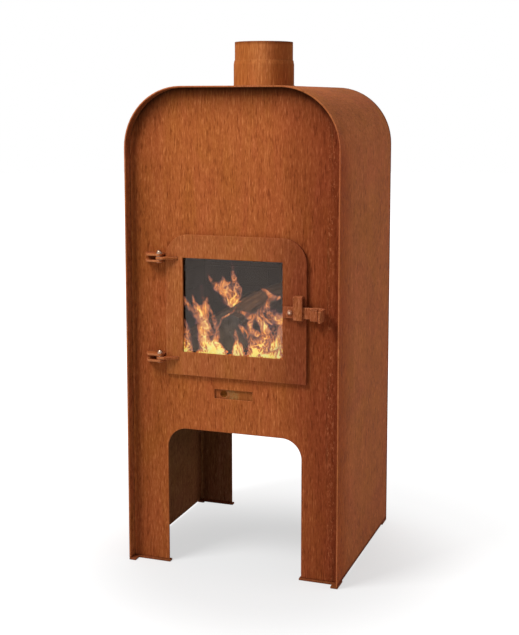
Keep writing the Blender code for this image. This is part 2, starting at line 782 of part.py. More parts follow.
def screw_profile(radius, length, head_radius, head_height):
    """Round-headed screw: shank from the head's underside at zero up to its length, head below."""
    profile = [(0, length), (radius, length), (radius, 0), (head_radius, 0)]
    for step in range(1, SMALL_ARC):
        angle = math.pi / 2 * step / SMALL_ARC
        profile.append((head_radius * math.cos(angle), -head_height * math.sin(angle)))
    profile.append((0, -head_height))
    return profile


def make_glass_screw(name, x, level, seat):
    """Small screw from behind through a glass strip, its end in a blind hole in the door."""
    length = seat - DOOR_BACK + SCREW_DEPTH
    profile = screw_profile(SCREW_RADIUS, length, SCREW_HEAD_RADIUS, SCREW_HEAD_HEIGHT)
    return turned(name, profile, (x, seat, level), "front", "stainless", SCREW_STEPS)


def ear_outline():
    """Hinge ear seen from above: welded along its back edge, round about the pin in front."""
    front = PIN_Y - NOSE
    weld = FACE - SEAM
    corners = [
        (PIN_X + NOSE, weld, 0),
        (PIN_X - EAR_BASE, weld, 0),
        (PIN_X - EAR_FRONT, front, EAR_CORNER),
        (PIN_X + NOSE, front, NOSE),
    ]
    return rounded(corners, LARGE_ARC // 2)


def leaf_outline():
    """Hinge leaf seen from above: round about the pin, then tapering along the door's face."""
    front = PIN_Y - NOSE
    weld = PIN_Y + NOSE
    end = PIN_X + LEAF_LENGTH
    corners = [
        (PIN_X - NOSE, weld, NOSE),
        (PIN_X - NOSE, front, NOSE),
        (PIN_X + LEAF_SHOULDER, front, LEAF_BLEND),
        (end, weld - LEAF_TIP, 0),
        (end, weld, 0),
    ]
    return rounded(corners, LARGE_ARC // 2)


def make_hinge(label, level):
    """One hinge: two ears, bolt with cap nut and two washers on the casing, one leaf on the door."""
    hole = HINGE_BOLT_RADIUS + SEAM
    for name, low, high in (
        ("top", level + EAR_INSIDE, level + EAR_OUTSIDE),
        ("bottom", level - EAR_OUTSIDE, level - EAR_INSIDE),
    ):
        ear_name = f"hinge_ear_{label}_{name}"
        ear = prism(ear_name, ear_outline(), "Z", low, high, "corten_fitting")
        start = low - OVERRUN
        bore(ear, f"{ear_name}_hole", "Z", PIN_X, PIN_Y, hole, start, high + OVERRUN)
        break_edges(ear)
        smooth(ear)
    half = LEAF_THICK / 2
    leaf_name = f"hinge_leaf_{label}"
    leaf = prism(leaf_name, leaf_outline(), "Z", level - half, level + half, "corten_fitting")
    start = level - half - OVERRUN
    end = level + half + OVERRUN
    bore(leaf, f"{leaf_name}_hole", "Z", PIN_X, PIN_Y, hole, start, end)
    break_edges(leaf)
    smooth(leaf)
    for name, seat in (
        ("top", level + half + SEAM),
        ("bottom", level - half - SEAM - WASHER_THICK),
    ):
        profile = [
            (hole, 0),
            (WASHER_RADIUS, 0),
            (WASHER_RADIUS, WASHER_THICK),
            (hole, WASHER_THICK),
        ]
        washer = f"hinge_washer_{label}_{name}"
        turned(washer, profile, (PIN_X, PIN_Y, seat), "up", "stainless", BOLT_STEPS)
    make_hinge_bolt(label, level)
    make_cap_nut(label, level)
    return leaf


def make_hinge_bolt(label, level):
    """Bolt from below: low round head under the lower ear, shank up into the cap nut."""
    seat = level - EAR_OUTSIDE - SEAM
    length = level + EAR_OUTSIDE + BOLT_GRIP - seat
    profile = screw_profile(HINGE_BOLT_RADIUS, length, BOLT_HEAD_RADIUS, BOLT_HEAD_HEIGHT)
    centre = (PIN_X, PIN_Y, seat)
    turned(f"hinge_bolt_{label}", profile, centre, "up", "stainless", BOLT_STEPS)


def make_cap_nut(label, level):
    """Domed nut on the upper ear, with a blind bore for the bolt's end."""
    seat = level + EAR_OUTSIDE + SEAM
    dome_base = seat + NUT_HEX_HEIGHT
    name = f"hinge_cap_nut_{label}"
    hexagon = circle(PIN_X, PIN_Y, NUT_FLATS / math.sqrt(3), 6)
    nut = prism(name, hexagon, "Z", seat, dome_base, "stainless")
    sunk = NUT_HEX_HEIGHT / 2
    profile = [(0, -sunk), (NUT_DOME_RADIUS, -sunk)]
    for step in range(SMALL_ARC):
        angle = math.pi / 2 * step / SMALL_ARC
        profile.append((NUT_DOME_RADIUS * math.cos(angle), NUT_DOME_RADIUS * math.sin(angle)))
    profile.append((0, NUT_DOME_RADIUS))
    dome = turned(f"{name}_dome", profile, (PIN_X, PIN_Y, dome_base), "up", None, BOLT_STEPS)
    combine(nut, dome, "UNION")
    hole = HINGE_BOLT_RADIUS + SEAM
    depth = level + EAR_OUTSIDE + BOLT_GRIP + SEAM
    bore(nut, f"{name}_hole", "Z", PIN_X, PIN_Y, hole, seat - OVERRUN, depth)
    smooth(nut)


def make_latch_lever():
    """Flat bar on the pivot, its far end bent outwards as the handle."""
    left = PIVOT_X - BAR_TAIL
    right = BAR_END + OVERRUN
    plan = [
        (left - OVERRUN, BAR_BACK, 0),
        (BAR_END, BAR_BACK, HANDLE_BEND + BAR_THICK),
        (BAR_END, HANDLE_TIP, 0),
        (BAR_END - BAR_THICK, HANDLE_TIP, 0),
        (BAR_END - BAR_THICK, BAR_FRONT, HANDLE_BEND),
        (left - OVERRUN, BAR_FRONT, 0),
    ]
    lever = prism("latch_lever", rounded(plan), "Z", BAR_BOTTOM, BAR_TOP, "corten_fitting")
    corners = [
        (left, BAR_BOTTOM, BAR_CORNER),
        (left, BAR_TOP, BAR_CORNER),
        (right, BAR_TOP, 0),
        (right, BAR_BOTTOM, 0),
    ]
    start = HANDLE_TIP - OVERRUN
    side = prism("lever_side", rounded(corners), "Y", start, BAR_BACK + OVERRUN)
    combine(lever, side, "INTERSECT")
    hole = PIVOT_RADIUS + SEAM
    hole_start = BAR_FRONT - OVERRUN
    hole_end = BAR_BACK + OVERRUN
    bore(lever, "lever_hole", "Y", PIVOT_X, DOOR_MIDDLE, hole, hole_start, hole_end)
    break_edges(lever)
    smooth(lever)
    return lever


def make_latch_pivot():
    """Domed screw through the lever into the door plate, and the washer behind the lever."""
    washer_start = DOOR_FRONT - SEAM
    hole = PIVOT_RADIUS + SEAM
    washer_profile = [
        (hole, 0),
        (PIVOT_WASHER_RADIUS, 0),
        (PIVOT_WASHER_RADIUS, PIVOT_WASHER_THICK),
        (hole, PIVOT_WASHER_THICK),
    ]
    washer_centre = (PIVOT_X, washer_start, DOOR_MIDDLE)
    washer = turned(
        "latch_washer", washer_profile, washer_centre, "front", "stainless", BOLT_STEPS
    )
    seat = BAR_FRONT - SEAM
    length = DOOR_BACK - seat
    profile = screw_profile(PIVOT_RADIUS, length, PIVOT_HEAD_RADIUS, PIVOT_HEAD_HEIGHT)
    screw_centre = (PIVOT_X, seat, DOOR_MIDDLE)
    screw = turned("latch_screw", profile, screw_centre, "back", "stainless", BOLT_STEPS)
    return [screw, washer]


def make_latch_strap():
    """Bridge on the door that the lever moves in: it stops the lever below and above."""
    weld = DOOR_FRONT - SEAM
    inside = BAR_FRONT - PLAY
    outside = inside - STRAP_SHEET
    floor = BAR_BOTTOM - SEAM
    ceiling = floor + STRAP_OPENING
    bend = STRAP_SHEET / 2
    profile = [
        (weld, floor - STRAP_SHEET, 0),
        (outside, floor - STRAP_SHEET, bend),
        (outside, ceiling + STRAP_SHEET, bend),
        (weld, ceiling + STRAP_SHEET, 0),
        (weld, ceiling, 0),
        (inside, ceiling, 0),
        (inside, floor, 0),
        (weld, floor, 0),
    ]
    middle = DOOR_RIGHT - STRAP_FROM_EDGE
    start = middle - STRAP_WIDTH / 2
    end = middle + STRAP_WIDTH / 2
    strap = prism("latch_strap", rounded(profile), "X", start, end, "corten_fitting")
    return smooth(break_edges(strap))


def make_latch_keeper():
    """Hook on the front plate: the lever drops in from above and is held behind the lip."""
    weld = FACE - SEAM
    inside = BAR_FRONT - PLAY
    outside = inside - KEEPER_SHEET
    floor = BAR_BOTTOM - SEAM
    lip_top = floor + KEEPER_LIP
    flare_start = lip_top - KEEPER_FLARE * 2
    bend = KEEPER_SHEET / 2
    profile = [
        (weld, floor - KEEPER_SHEET, 0),
        (outside, floor - KEEPER_SHEET, bend),
        (outside, flare_start, 0),
        (outside - KEEPER_FLARE, lip_top, 0),
        (inside - KEEPER_FLARE, lip_top, 0),
        (inside, flare_start, 0),
        (inside, floor, 0),
        (weld, floor, 0),
    ]
    middle = DOOR_RIGHT + KEEPER_PAST_EDGE
    start = middle - KEEPER_WIDTH / 2
    end = middle + KEEPER_WIDTH / 2
    keeper = prism("latch_keeper", rounded(profile), "X", start, end, "corten_fitting")
    smooth(break_edges(keeper))


def make_air_slide():
    """Plate behind the slot that covers it at rest, with a finger hole to push it by."""
    start = FACE_INSIDE + PLAY
    end = start + SLIDE_SHEET
    outline = box_outline(-SLIDE_HALF, SLIDE_HALF, SLIDE_BOTTOM, SLIDE_TOP)
    slide = prism("air_slide", outline, "Y", start, end, "corten_fitting")
    level = (SLOT_BOTTOM + SLOT_TOP) / 2
    hole_start = start - OVERRUN
    hole_end = end + OVERRUN
    x = -FINGER_FROM_MIDDLE
    bore(slide, "finger_hole", "Y", x, level, FINGER_RADIUS, hole_start, hole_end)
    break_edges(slide)
    return smooth(slide)


def make_slide_runners():
    """Two lipped runners behind the front plate that carry the slide, and a stop at each end."""
    weld = FACE_INSIDE + SEAM
    pocket = FACE_INSIDE + SLIDE_SHEET + 2 * PLAY
    back = pocket + RUNNER_SHEET
    left_stop = -SLIDE_HALF - SEAM
    right_stop = SLIDE_HALF + SLIDE_TRAVEL + SEAM
    start = left_stop - STOP_WIDTH
    end = right_stop + STOP_WIDTH
    for name, edge, outward in (("top", SLIDE_TOP, 1), ("bottom", SLIDE_BOTTOM, -1)):
        seat = edge + outward * SEAM
        profile = [
            (weld, seat),
            (weld, seat + outward * RUNNER_FOOT),
            (back, seat + outward * RUNNER_FOOT),
            (back, edge - outward * RUNNER_LIP),
            (pocket, edge - outward * RUNNER_LIP),
            (pocket, seat),
        ]
        prism(f"slide_runner_{name}", profile, "X", start, end, "raw_steel")
    for name, low, high in (
        ("left", start, left_stop),
        ("right", right_stop, end),
    ):
        stop_back = pocket - SEAM
        outline = box_outline(low, high, SLIDE_BOTTOM, SLIDE_TOP)
        prism(f"slide_stop_{name}", outline, "Y", weld, stop_back, "raw_steel")


def clear_scene():
    """Removes whatever the scene holds."""
    for old in list(bpy.data.objects):
        bpy.data.objects.remove(old)


def build_stove():
    """Makes every piece, then hangs the moving ones on their joints' axes."""
    clear_scene()
    casing = make_axis("casing_middle", 0, CASING_MIDDLE, 0)
    make_outer_shell()
    make_plates()
    make_foot_plates()
    make_flue()
    make_floors()
    make_boards()
    make_grate()
    make_ash_pan()
    make_baffle()
    make_latch_keeper()
    make_slide_runners()
    door_pieces = make_door()
    door_pieces.append(make_hinge("upper", UPPER_HINGE))
    door_pieces.append(make_hinge("lower", LOWER_HINGE))
    door_pieces.append(make_latch_strap())
    door_pieces += make_latch_pivot()
    hinge_line = make_axis("door_hinge_line", PIN_X, PIN_Y, DOOR_MIDDLE, casing)
    hang_on(hinge_line, door_pieces)
    latch_line = make_axis("latch_pivot_line", PIVOT_X, BAR_BACK, DOOR_MIDDLE, casing)
    hang_on(latch_line, [make_latch_lever()])
    slide_level = (SLIDE_BOTTOM + SLIDE_TOP) / 2
    slide_start = make_axis("air_slide_start", 0, FACE_INSIDE, slide_level, casing)
    hang_on(slide_start, [make_air_slide()])


build_stove()
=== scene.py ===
import math

import bmesh
import bpy
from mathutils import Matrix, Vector, noise


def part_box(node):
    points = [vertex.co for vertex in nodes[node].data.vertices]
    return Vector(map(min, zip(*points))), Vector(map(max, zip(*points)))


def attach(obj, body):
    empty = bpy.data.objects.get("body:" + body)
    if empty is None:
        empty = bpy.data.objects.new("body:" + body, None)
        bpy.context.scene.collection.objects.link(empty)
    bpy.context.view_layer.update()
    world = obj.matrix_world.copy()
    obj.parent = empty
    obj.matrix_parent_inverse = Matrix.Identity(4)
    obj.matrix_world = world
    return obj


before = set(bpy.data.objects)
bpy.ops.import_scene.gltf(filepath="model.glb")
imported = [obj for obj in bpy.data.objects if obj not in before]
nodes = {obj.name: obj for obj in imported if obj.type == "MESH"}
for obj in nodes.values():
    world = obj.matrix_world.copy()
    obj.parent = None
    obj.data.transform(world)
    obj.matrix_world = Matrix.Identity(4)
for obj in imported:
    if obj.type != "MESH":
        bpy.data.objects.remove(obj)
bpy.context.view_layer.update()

bpy.ops.object.select_all(action="DESELECT")


# ---------------------------------------------------------------- camera
# The view of the photograph: a little to the stove's right and above its
# middle, about three metres away, with the upright edges kept upright.
bpy.ops.object.camera_add(
    location=(0.999, -2.82265, 1.163),
    rotation=(math.radians(83.23), 0, math.radians(19.6)),
)
camera = bpy.context.active_object
camera.data.sensor_width = 36
camera.data.lens = 66.33
camera.data.shift_y = -0.1236
bpy.context.scene.camera = camera
bpy.context.scene.view_settings.view_transform = "Standard"


# ---------------------------------------------------------------- studio
# A white studio: pale floor, white surroundings, one large soft lamp high
# on the left in front, and a weak one that opens the shadows on the right.
def feed(tree, node, inputs):
    """Links a node's inputs to sockets, or sets them to values."""
    for name, value in inputs.items():
        if isinstance(value, bpy.types.NodeSocket):
            tree.links.new(value, node.inputs[name])
        else:
            node.inputs[name].default_value = value


def put(tree, kind, inputs=None, **settings):
    """Adds one shader node with its settings and inputs."""
    made = tree.nodes.new("ShaderNode" + kind)
    for name, value in settings.items():
        setattr(made, name, value)
    feed(tree, made, inputs or {})
    return made


def maths(tree, operation, first, second=0.0, third=0.0, clamp=False):
    """One sum; each side is a number or a socket."""
    inputs = {0: first, 1: second, 2: third}
    return put(tree, "Math", inputs, operation=operation, use_clamp=clamp).outputs[0]


def ranged(tree, value, low, high, bottom, top, way="LINEAR"):
    """Turns the span from low to high into the one from bottom to top."""
    inputs = {"Value": value, "From Min": low, "From Max": high, "To Min": bottom, "To Max": top}
    return put(tree, "MapRange", inputs, interpolation_type=way).outputs["Result"]


def seen_directly(tree):
    """One where the eye, a reflection or a pane of glass looks, else zero."""
    path = put(tree, "LightPath").outputs
    mirrored = maths(tree, "MAXIMUM", path["Is Camera Ray"], path["Is Glossy Ray"])
    return maths(tree, "MAXIMUM", mirrored, path["Is Transmission Ray"])


# The floor is pale to the lamps' light, and white to the eye away from the stove;
# close to the stove a painted soft shadow darkens it to the eye.
white = (1, 1, 1, 1)
shadow_middle, shadow_reach = (0.05, -0.15, 0), 0.65
floor_paint = bpy.data.materials.new("studio_floor")
floor_paint.use_nodes = True
tree = floor_paint.node_tree
tree.nodes.clear()
direct = seen_directly(tree)
matt = put(tree, "BsdfDiffuse", {"Color": ranged(tree, direct, 0, 1, 0.80, 0.33)})
ends = {0: put(tree, "TexCoord").outputs["Object"], 1: shadow_middle}
away = put(tree, "VectorMath", ends, operation="DISTANCE").outputs["Value"]
# painted shadow: the floor is darker to the eye in a soft halo round the stove
painted_shadow_halo = ranged(tree, away, 0.22, shadow_reach, 0.59, 0.84, "SMOOTHSTEP")
beyond = ranged(tree, away, shadow_reach, 1.60, 0.0, 0.30)
lift = maths(tree, "MULTIPLY", direct, maths(tree, "ADD", painted_shadow_halo, beyond))
gleam = put(tree, "Emission", {"Color": white, "Strength": lift})
both = put(tree, "AddShader", {0: matt.outputs[0], 1: gleam.outputs[0]})
put(tree, "OutputMaterial", {"Surface": both.outputs[0]})

floor_drop = 0.0004
bpy.ops.mesh.primitive_circle_add(
    vertices=96, radius=16, fill_type="NGON", location=(0, 0, -floor_drop)
)
floor = bpy.context.active_object
floor.name = "studio_floor"
floor.data.materials.append(floor_paint)

world = bpy.data.worlds.new("studio")
bpy.context.scene.world = world
world.use_nodes = True
tree = world.node_tree
tree.nodes.clear()
brightness = ranged(tree, seen_directly(tree), 0, 1, 0.34, 1.0)
sky = put(tree, "Background", {"Color": white, "Strength": brightness})
put(tree, "OutputWorld", {"Surface": sky.outputs[0]})

lit_point = Vector((0, 0, 0.75))


def soft_lamp(name, azimuth, elevation, distance, size, power):
    """A square lamp that points at the middle of the casing."""
    turn, rise = math.radians(azimuth), math.radians(elevation)
    level = math.cos(rise)
    out = Vector((math.sin(turn) * level, -math.cos(turn) * level, math.sin(rise)))
    bpy.ops.object.light_add(type="AREA", location=lit_point + out * distance)
    lamp = bpy.context.active_object
    lamp.name = name
    lamp.rotation_euler = out.to_track_quat("Z", "Y").to_euler()
    lamp.data.size = size
    lamp.data.energy = power


soft_lamp("key_lamp", azimuth=-38, elevation=46, distance=3.1, size=1.25, power=84)
soft_lamp("side_lamp", azimuth=102, elevation=30, distance=4.0, size=2.5, power=24)


# ---------------------------------------------------------------- corten
# Weathering steel grows a thin, hard, orange-brown rust. Rain draws it out
# in fine upright streaks; the sheet below shows through as darker brown.
def srgb(red, green, blue):
    """A colour as a paint chart gives it, 0 to 255, made linear."""
    shares = [value / 255 for value in (red, green, blue)]
    return [v / 12.92 if v <= 0.04045 else ((v + 0.055) / 1.055) ** 2.4 for v in shares] + [1.0]


def new_group(name, inputs, outputs):
    """An empty node group with named sockets; gives the tree and its inputs."""
    group = bpy.data.node_groups.new(name, "ShaderNodeTree")
    for direction, sockets in (("INPUT", inputs), ("OUTPUT", outputs)):
        for label, kind in sockets.items():
            socket = "NodeSocket" + kind
            group.interface.new_socket(name=label, in_out=direction, socket_type=socket)
    return group, group.nodes.new("NodeGroupInput").outputs


def close_group(group, **results):
    """Joins the group's results to its output sockets."""
    feed(group, group.nodes.new("NodeGroupOutput"), results)


def stretched(tree, vector, scale):
    """The pattern's place, drawn out by scale along each axis."""
    return put(tree, "Mapping", {"Vector": vector, "Scale": scale}).outputs["Vector"]


def cloudy(tree, vector, scale, detail, rough, twist=0.0):
    """Fractal noise between nought and one."""
    inputs = {"Vector": vector, "Scale": scale, "Detail": detail}
    inputs.update({"Roughness": rough, "Distortion": twist})
    return put(tree, "TexNoise", inputs).outputs["Fac"]


def upright(tree, vector, squeeze, *texture):
    """Cloudy noise drawn out upwards, the longer the smaller the squeeze."""
    return cloudy(tree, stretched(tree, vector, (1, 1, squeeze)), *texture)


def spread(tree, value, low, high):
    """Stretches the span from low to high over nought to one, softly."""
    return ranged(tree, value, low, high, 0, 1, "SMOOTHSTEP")


def product(tree, first, *others):
    """The values multiplied."""
    for other in others:
        first = maths(tree, "MULTIPLY", first, other)
    return first


def added(tree, base, pattern, weight):
    """The base with so much of a pattern added."""
    return maths(tree, "MULTIPLY_ADD", pattern, weight, base)


def blend_colours(tree, share, first, second, way="MIX"):
    """Two colours mixed by a share."""
    inputs = {"Factor": share, 6: first, 7: second}
    return put(tree, "Mix", inputs, data_type="RGBA", blend_type=way).outputs[2]


def tinted(tree, colour, *layers):
    """The colour multiplied by each layer's tint, as far as its share goes."""
    for share, tint in layers:
        colour = blend_colours(tree, share, colour, (*tint, 1), "MULTIPLY")
    return colour


def make_rust_group():
    """Dashes, streaks, runs and clouds of the rust: colour, gloss and height."""
    inputs = {"Vector": "Vector", "Pale": "Color", "Rust": "Color", "Dark": "Color"}
    inputs.update({"Dashes": "Float", "Clouds": "Float"})
    results = {"Color": "Color", "Roughness": "Float", "Height": "Float"}
    tree, given = new_group("rust_patina", inputs, results)
    place = given["Vector"]
    elsewhere = put(tree, "VectorMath", {0: place, 1: (3.1, 1.7, 0.4)}).outputs["Vector"]
    pale_dash = spread(tree, upright(tree, place, 0.19, 330, 2, 0.5), 0.50, 0.80)
    dark_dash = spread(tree, upright(tree, elsewhere, 0.22, 300, 2, 0.5), 0.50, 0.80)
    dashes = maths(tree, "SUBTRACT", pale_dash, dark_dash)
    streaks = maths(tree, "SUBTRACT", upright(tree, place, 0.34, 480, 2, 0.6), 0.5)
    runs = maths(tree, "SUBTRACT", upright(tree, place, 0.035, 150, 2, 0.5), 0.5)
    clouds = maths(tree, "SUBTRACT", upright(tree, place, 0.5, 26, 5, 0.62, 0.5), 0.5)
    tone = 0.5
    for pattern, strength, share in (
        (dashes, given["Dashes"], 0.36),
        (streaks, given["Dashes"], 0.46),
        (runs, given["Dashes"], 0.24),
        (clouds, given["Clouds"], 1.0),
    ):
        tone = added(tree, tone, pattern, product(tree, strength, share))
    darker = maths(tree, "MULTIPLY", tone, 2.0, clamp=True)
    paler = maths(tree, "MULTIPLY_ADD", tone, 2.0, -1.0, clamp=True)
    colour = blend_colours(tree, darker, given["Dark"], given["Rust"])
    colour = blend_colours(tree, paler, colour, given["Pale"])
    hue = upright(tree, place, 0.45, 15, 5, 0.62, 0.4)
    redder = (spread(tree, hue, 0.54, 0.34), (1.02, 0.955, 1.06))
    yellower = (spread(tree, hue, 0.50, 0.70), (0.965, 1.01, 0.86))
    colour = tinted(tree, colour, redder, yellower)
    gloss = maths(tree, "MULTIPLY_ADD", tone, 0.22, 0.66, clamp=True)
    grain = cloudy(tree, place, 1100, 3, 0.65)
    height = added(tree, product(tree, tone, 0.7), grain, 0.6)
    close_group(tree, Color=colour, Roughness=gloss, Height=height)
    return tree


def make_edge_group():
    """Edges rounded and rubbed paler by handling and weather; the pale is also a painted
    highlight.
    """
    results = {"Mask": "Float", "Normal": "Vector"}
    tree, given = new_group("edge_wear", {"Radius": "Float"}, results)
    eased = put(tree, "Bevel", {"Radius": given["Radius"]}, samples=6).outputs[0]
    flat = put(tree, "NewGeometry").outputs["True Normal"]
    turned = put(tree, "VectorMath", {0: eased, 1: flat}, operation="DOT_PRODUCT")
    mask = spread(tree, turned.outputs["Value"], 0.97, 0.78)
    close_group(tree, Mask=mask, Normal=eased)
    return tree


rust_group = make_rust_group()
edge_group = make_edge_group()


def new_material(name):
    """A material with its tree, its Principled shader and Object coordinates."""
    made = bpy.data.materials.new(name)
    made.use_nodes = True
    tree = made.node_tree
    tree.nodes.clear()
    shader = put(tree, "BsdfPrincipled")
    put(tree, "OutputMaterial", {"Surface": shader.outputs[0]})
    return made, tree, shader, put(tree, "TexCoord").outputs["Object"]


def group_node(tree, group, **values):
    """A node group in a material, with that material's own values."""
    made = tree.nodes.new("ShaderNodeGroup")
    made.node_tree = group
    feed(tree, made, values)
    return made.outputs


def bumped(tree, height, strength, distance, **under):
    """The normal of a surface with so much relief."""
    inputs = {"Height": height, "Strength": strength, "Distance": distance, **under}
    return put(tree, "Bump", inputs).outputs[0]


# pale of worn edges, also standing in for a painted highlight along them
wear_and_highlight_colour = srgb(218, 140, 100)


def rusted(
    name, pale, rust, dark, dashes, clouds, relief, wear, drawn=(1, 1, 1), rounding=0.0022
):
    """Rusted steel; gives the material, its tree, shader, colour and place."""
    made, tree, shader, place = new_material(name)
    colours = {"Pale": srgb(*pale), "Rust": srgb(*rust), "Dark": srgb(*dark)}
    where = stretched(tree, place, drawn)
    patina = group_node(tree, rust_group, Vector=where, Dashes=dashes, Clouds=clouds, **colours)
    edge = group_node(tree, edge_group, Radius=rounding)
    # pale edges: wear, and a painted highlight
    worn_and_lit_edge = product(tree, edge["Mask"], wear)
    colour = blend_colours(tree, worn_and_lit_edge, patina["Color"], wear_and_highlight_colour)
    feed(tree, shader, {
        "Base Color": colour,
        "Roughness": patina["Roughness"],
        "Normal": bumped(tree, patina["Height"], relief, 0.0006, Normal=edge["Normal"]),
        "Specular IOR Level": 0.03,
    })
    return made, tree, shader, colour, place


# ---------------------------------------------------------------- shell
# One 4 mm sheet, bent over the top with a 150 mm radius and open in front
# and behind, with the plates welded in. Its outside is smoother and browner
# than they are. Its inner face carries painted shade, darkest towards the
# top, and painted light behind the plates; painted shade also darkens its
# outer face along the lower and rear edges.
def dress(material, *starts):
    """Gives the material to every CAD piece whose name starts so."""
    for name, piece in nodes.items():
        if name.startswith(starts):
            piece.data.materials[0] = material


def apart(tree, value, middle):
    """How far a value is from a middle one."""
    return maths(tree, "ABSOLUTE", maths(tree, "SUBTRACT", value, middle))


def split(tree, place):
    """The place's three coordinates."""
    return put(tree, "SeparateXYZ", {0: place}).outputs


def make_gap_group():
    """How far a point is inside the bent sheet: below nought in the sheet."""
    tree, given = new_group("shell_gap", {"Vector": "Vector"}, {"Gap": "Float"})
    bend, inner_side, inner_top = 0.146, 0.271, 1.193
    axes = split(tree, given["Vector"])
    side = maths(tree, "ABSOLUTE", axes["X"])
    aside = maths(tree, "MAXIMUM", maths(tree, "SUBTRACT", side, inner_side - bend), 0.0)
    above = maths(tree, "MAXIMUM", maths(tree, "SUBTRACT", axes["Z"], inner_top - bend), 0.0)
    square = added(tree, product(tree, above, above), aside, aside)
    close_group(tree, Gap=maths(tree, "SUBTRACT", bend, maths(tree, "SQRT", square)))
    return tree


gap_group = make_gap_group()
casing_middle = 0.01635
shell_rust, tree, shader, colour, place = rusted(
    "shell_rust", (194, 115, 70), (171, 97, 56), (137, 72, 38),
    dashes=1.6, clouds=0.9, relief=0.25, wear=0.85, drawn=(1, 0.4, 1),
)
gap = group_node(tree, gap_group, Vector=place)["Gap"]
axes = split(tree, place)
within = spread(tree, gap, -0.0012, -0.0004)
outside = spread(tree, gap, -0.0028, -0.0036)
run_off = product(
    tree, spread(tree, axes["Y"], -0.085, -0.235), spread(tree, axes["Z"], 1.15, 1.00), outside
)
# painted shade: dark bands along the outer face's lower and rear edges
lower_edge = spread(tree, axes["Z"], 0.0160, 0.0100)
rear_edge = spread(tree, axes["Y"], 0.2520, 0.2610)
painted_shade_edges = product(tree, maths(tree, "MAXIMUM", lower_edge, rear_edge), outside)
from_middle = apart(tree, axes["Y"], casing_middle)
at_plate = product(tree, within, spread(tree, from_middle, 0.244, 0.226))
# painted light: the inner face behind the plates is paler, and painted shade darkens it higher up
behind_plate = product(tree, within, spread(tree, from_middle, 0.2240, 0.2220))
off_ground = spread(tree, axes["Z"], 0.02, 0.35)
# painted shade on the sheet's inner face: a little all over, and most towards the top
painted_shade_top = product(tree, within, spread(tree, axes["Z"], 0.90, 1.18))
colour = tinted(
    tree,
    colour,
    (run_off, (0.75, 0.58, 0.48)),
    (painted_shade_edges, (0.42, 0.31, 0.28)),
    (within, (0.86, 0.83, 0.80)),
    (at_plate, (1.0, 1.04, 1.0)),
    (behind_plate, (0.90, 1.14, 1.40)),
    (product(tree, behind_plate, off_ground), (0.59, 0.72, 0.62)),
    (painted_shade_top, (0.58, 0.52, 0.48)),
)
feed(tree, shader, {"Base Color": colour})
dress(shell_rust, "outer_shell")


# ---------------------------------------------------------------- plates
# Front and back plate, door, flue and collar: the same sheet, rained on in
# the open, with pale specks where the welds behind have heated them. Painted
# shade darkens them towards the right, and the plates along their edges under
# the rim; painted light lifts the plates' side corners and inner faces.
def weathered(name, shade_from, shade_to, marks=None, tint=(1, 1, 1), **patina):
    """Streaked orange rust with painted shade to the right, and a piece's own marks."""
    made, tree, shader, colour, place = rusted(
        name, (210, 128, 74), (168, 90, 45), (122, 58, 25), clouds=0.22, relief=0.35, **patina
    )
    axes = split(tree, place)
    runs = upright(tree, place, 0.12, 20, 4, 0.6)
    # painted shade: darker and redder towards the right
    painted_shade_right = spread(tree, added(tree, axes["X"], runs, 0.09), shade_from, shade_to)
    colour = tinted(tree, colour, (1.0, tint), (painted_shade_right, (0.60, 0.47, 0.56)))
    if marks:
        colour = marks(tree, place, axes, runs, colour)
    feed(tree, shader, {"Base Color": colour})
    return made


def under_rim(tree, place, axes, runs, colour):
    """Marks near the shell's rim: weld specks, painted shade and painted light."""
    gap = group_node(tree, gap_group, Vector=place)["Gap"]
    speck = upright(tree, place, 0.45, 260, 3, 0.6, 0.6)
    welded = product(
        tree,
        spread(tree, gap, 0.038, 0.028),
        spread(tree, gap, 0.008, 0.018),
        spread(tree, added(tree, axes["X"], runs, 0.5), 0.40, 0.56),
    )
    specks = product(tree, welded, spread(tree, speck, 0.53, 0.70))
    colour = blend_colours(tree, specks, colour, srgb(184, 108, 70))
    beside = spread(tree, axes["Z"], 1.15, 1.05)
    overhung = maths(tree, "SUBTRACT", 1.0, beside)
    # painted light: the side corners right next to the rim are lifted paler
    crust_and_painted_light = product(tree, beside, spread(tree, gap, 0.013, 0.001))
    beyond_painted_light = maths(tree, "SUBTRACT", 1.0, crust_and_painted_light)
    # painted shade: darker towards the left edge
    painted_shade_left = spread(tree, added(tree, axes["X"], runs, -0.03), -0.130, -0.290)
    # painted light: the plate's inner faces are paler, and painted shade darkens them higher up
    painted_light_inside = spread(tree, apart(tree, axes["Y"], casing_middle), 0.2222, 0.2208)
    off_ground = spread(tree, axes["Z"], 0.02, 0.35)
    return tinted(
        tree,
        colour,
        (product(tree, welded, spread(tree, runs, 0.54, 0.66)), (0.62, 0.80, 0.80)),
        (product(tree, painted_shade_left, beyond_painted_light), (0.68, 0.64, 0.62)),
        # painted shade in the side corners next to the rim
        (product(tree, beside, beyond_painted_light, spread(tree, gap, 0.034, 0.002)), (0.68, 0.63, 0.62)),
        (crust_and_painted_light, (1.12, 1.16, 1.20)),
        # painted shade under the top rim, and a painted shadow line right beneath it
        (product(tree, overhung, spread(tree, gap, 0.110, 0.025)), (0.79, 0.79, 0.80)),
        (product(tree, overhung, spread(tree, gap, 0.023, -0.002)), (0.17, 0.18, 0.22)),
        (painted_light_inside, (0.90, 1.30, 2.10)),
        (product(tree, painted_light_inside, off_ground), (0.72, 0.80, 0.66)),
    )


def radius_about(tree, place, piece, across):
    """How far a point is from a piece's middle, across its axis."""
    low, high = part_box(piece)
    centred = put(tree, "Mapping", {"Vector": place, "Location": -(low + high) / 2})
    flat = stretched(tree, centred.outputs["Vector"], across)
    return put(tree, "VectorMath", {0: flat}, operation="LENGTH").outputs["Value"]


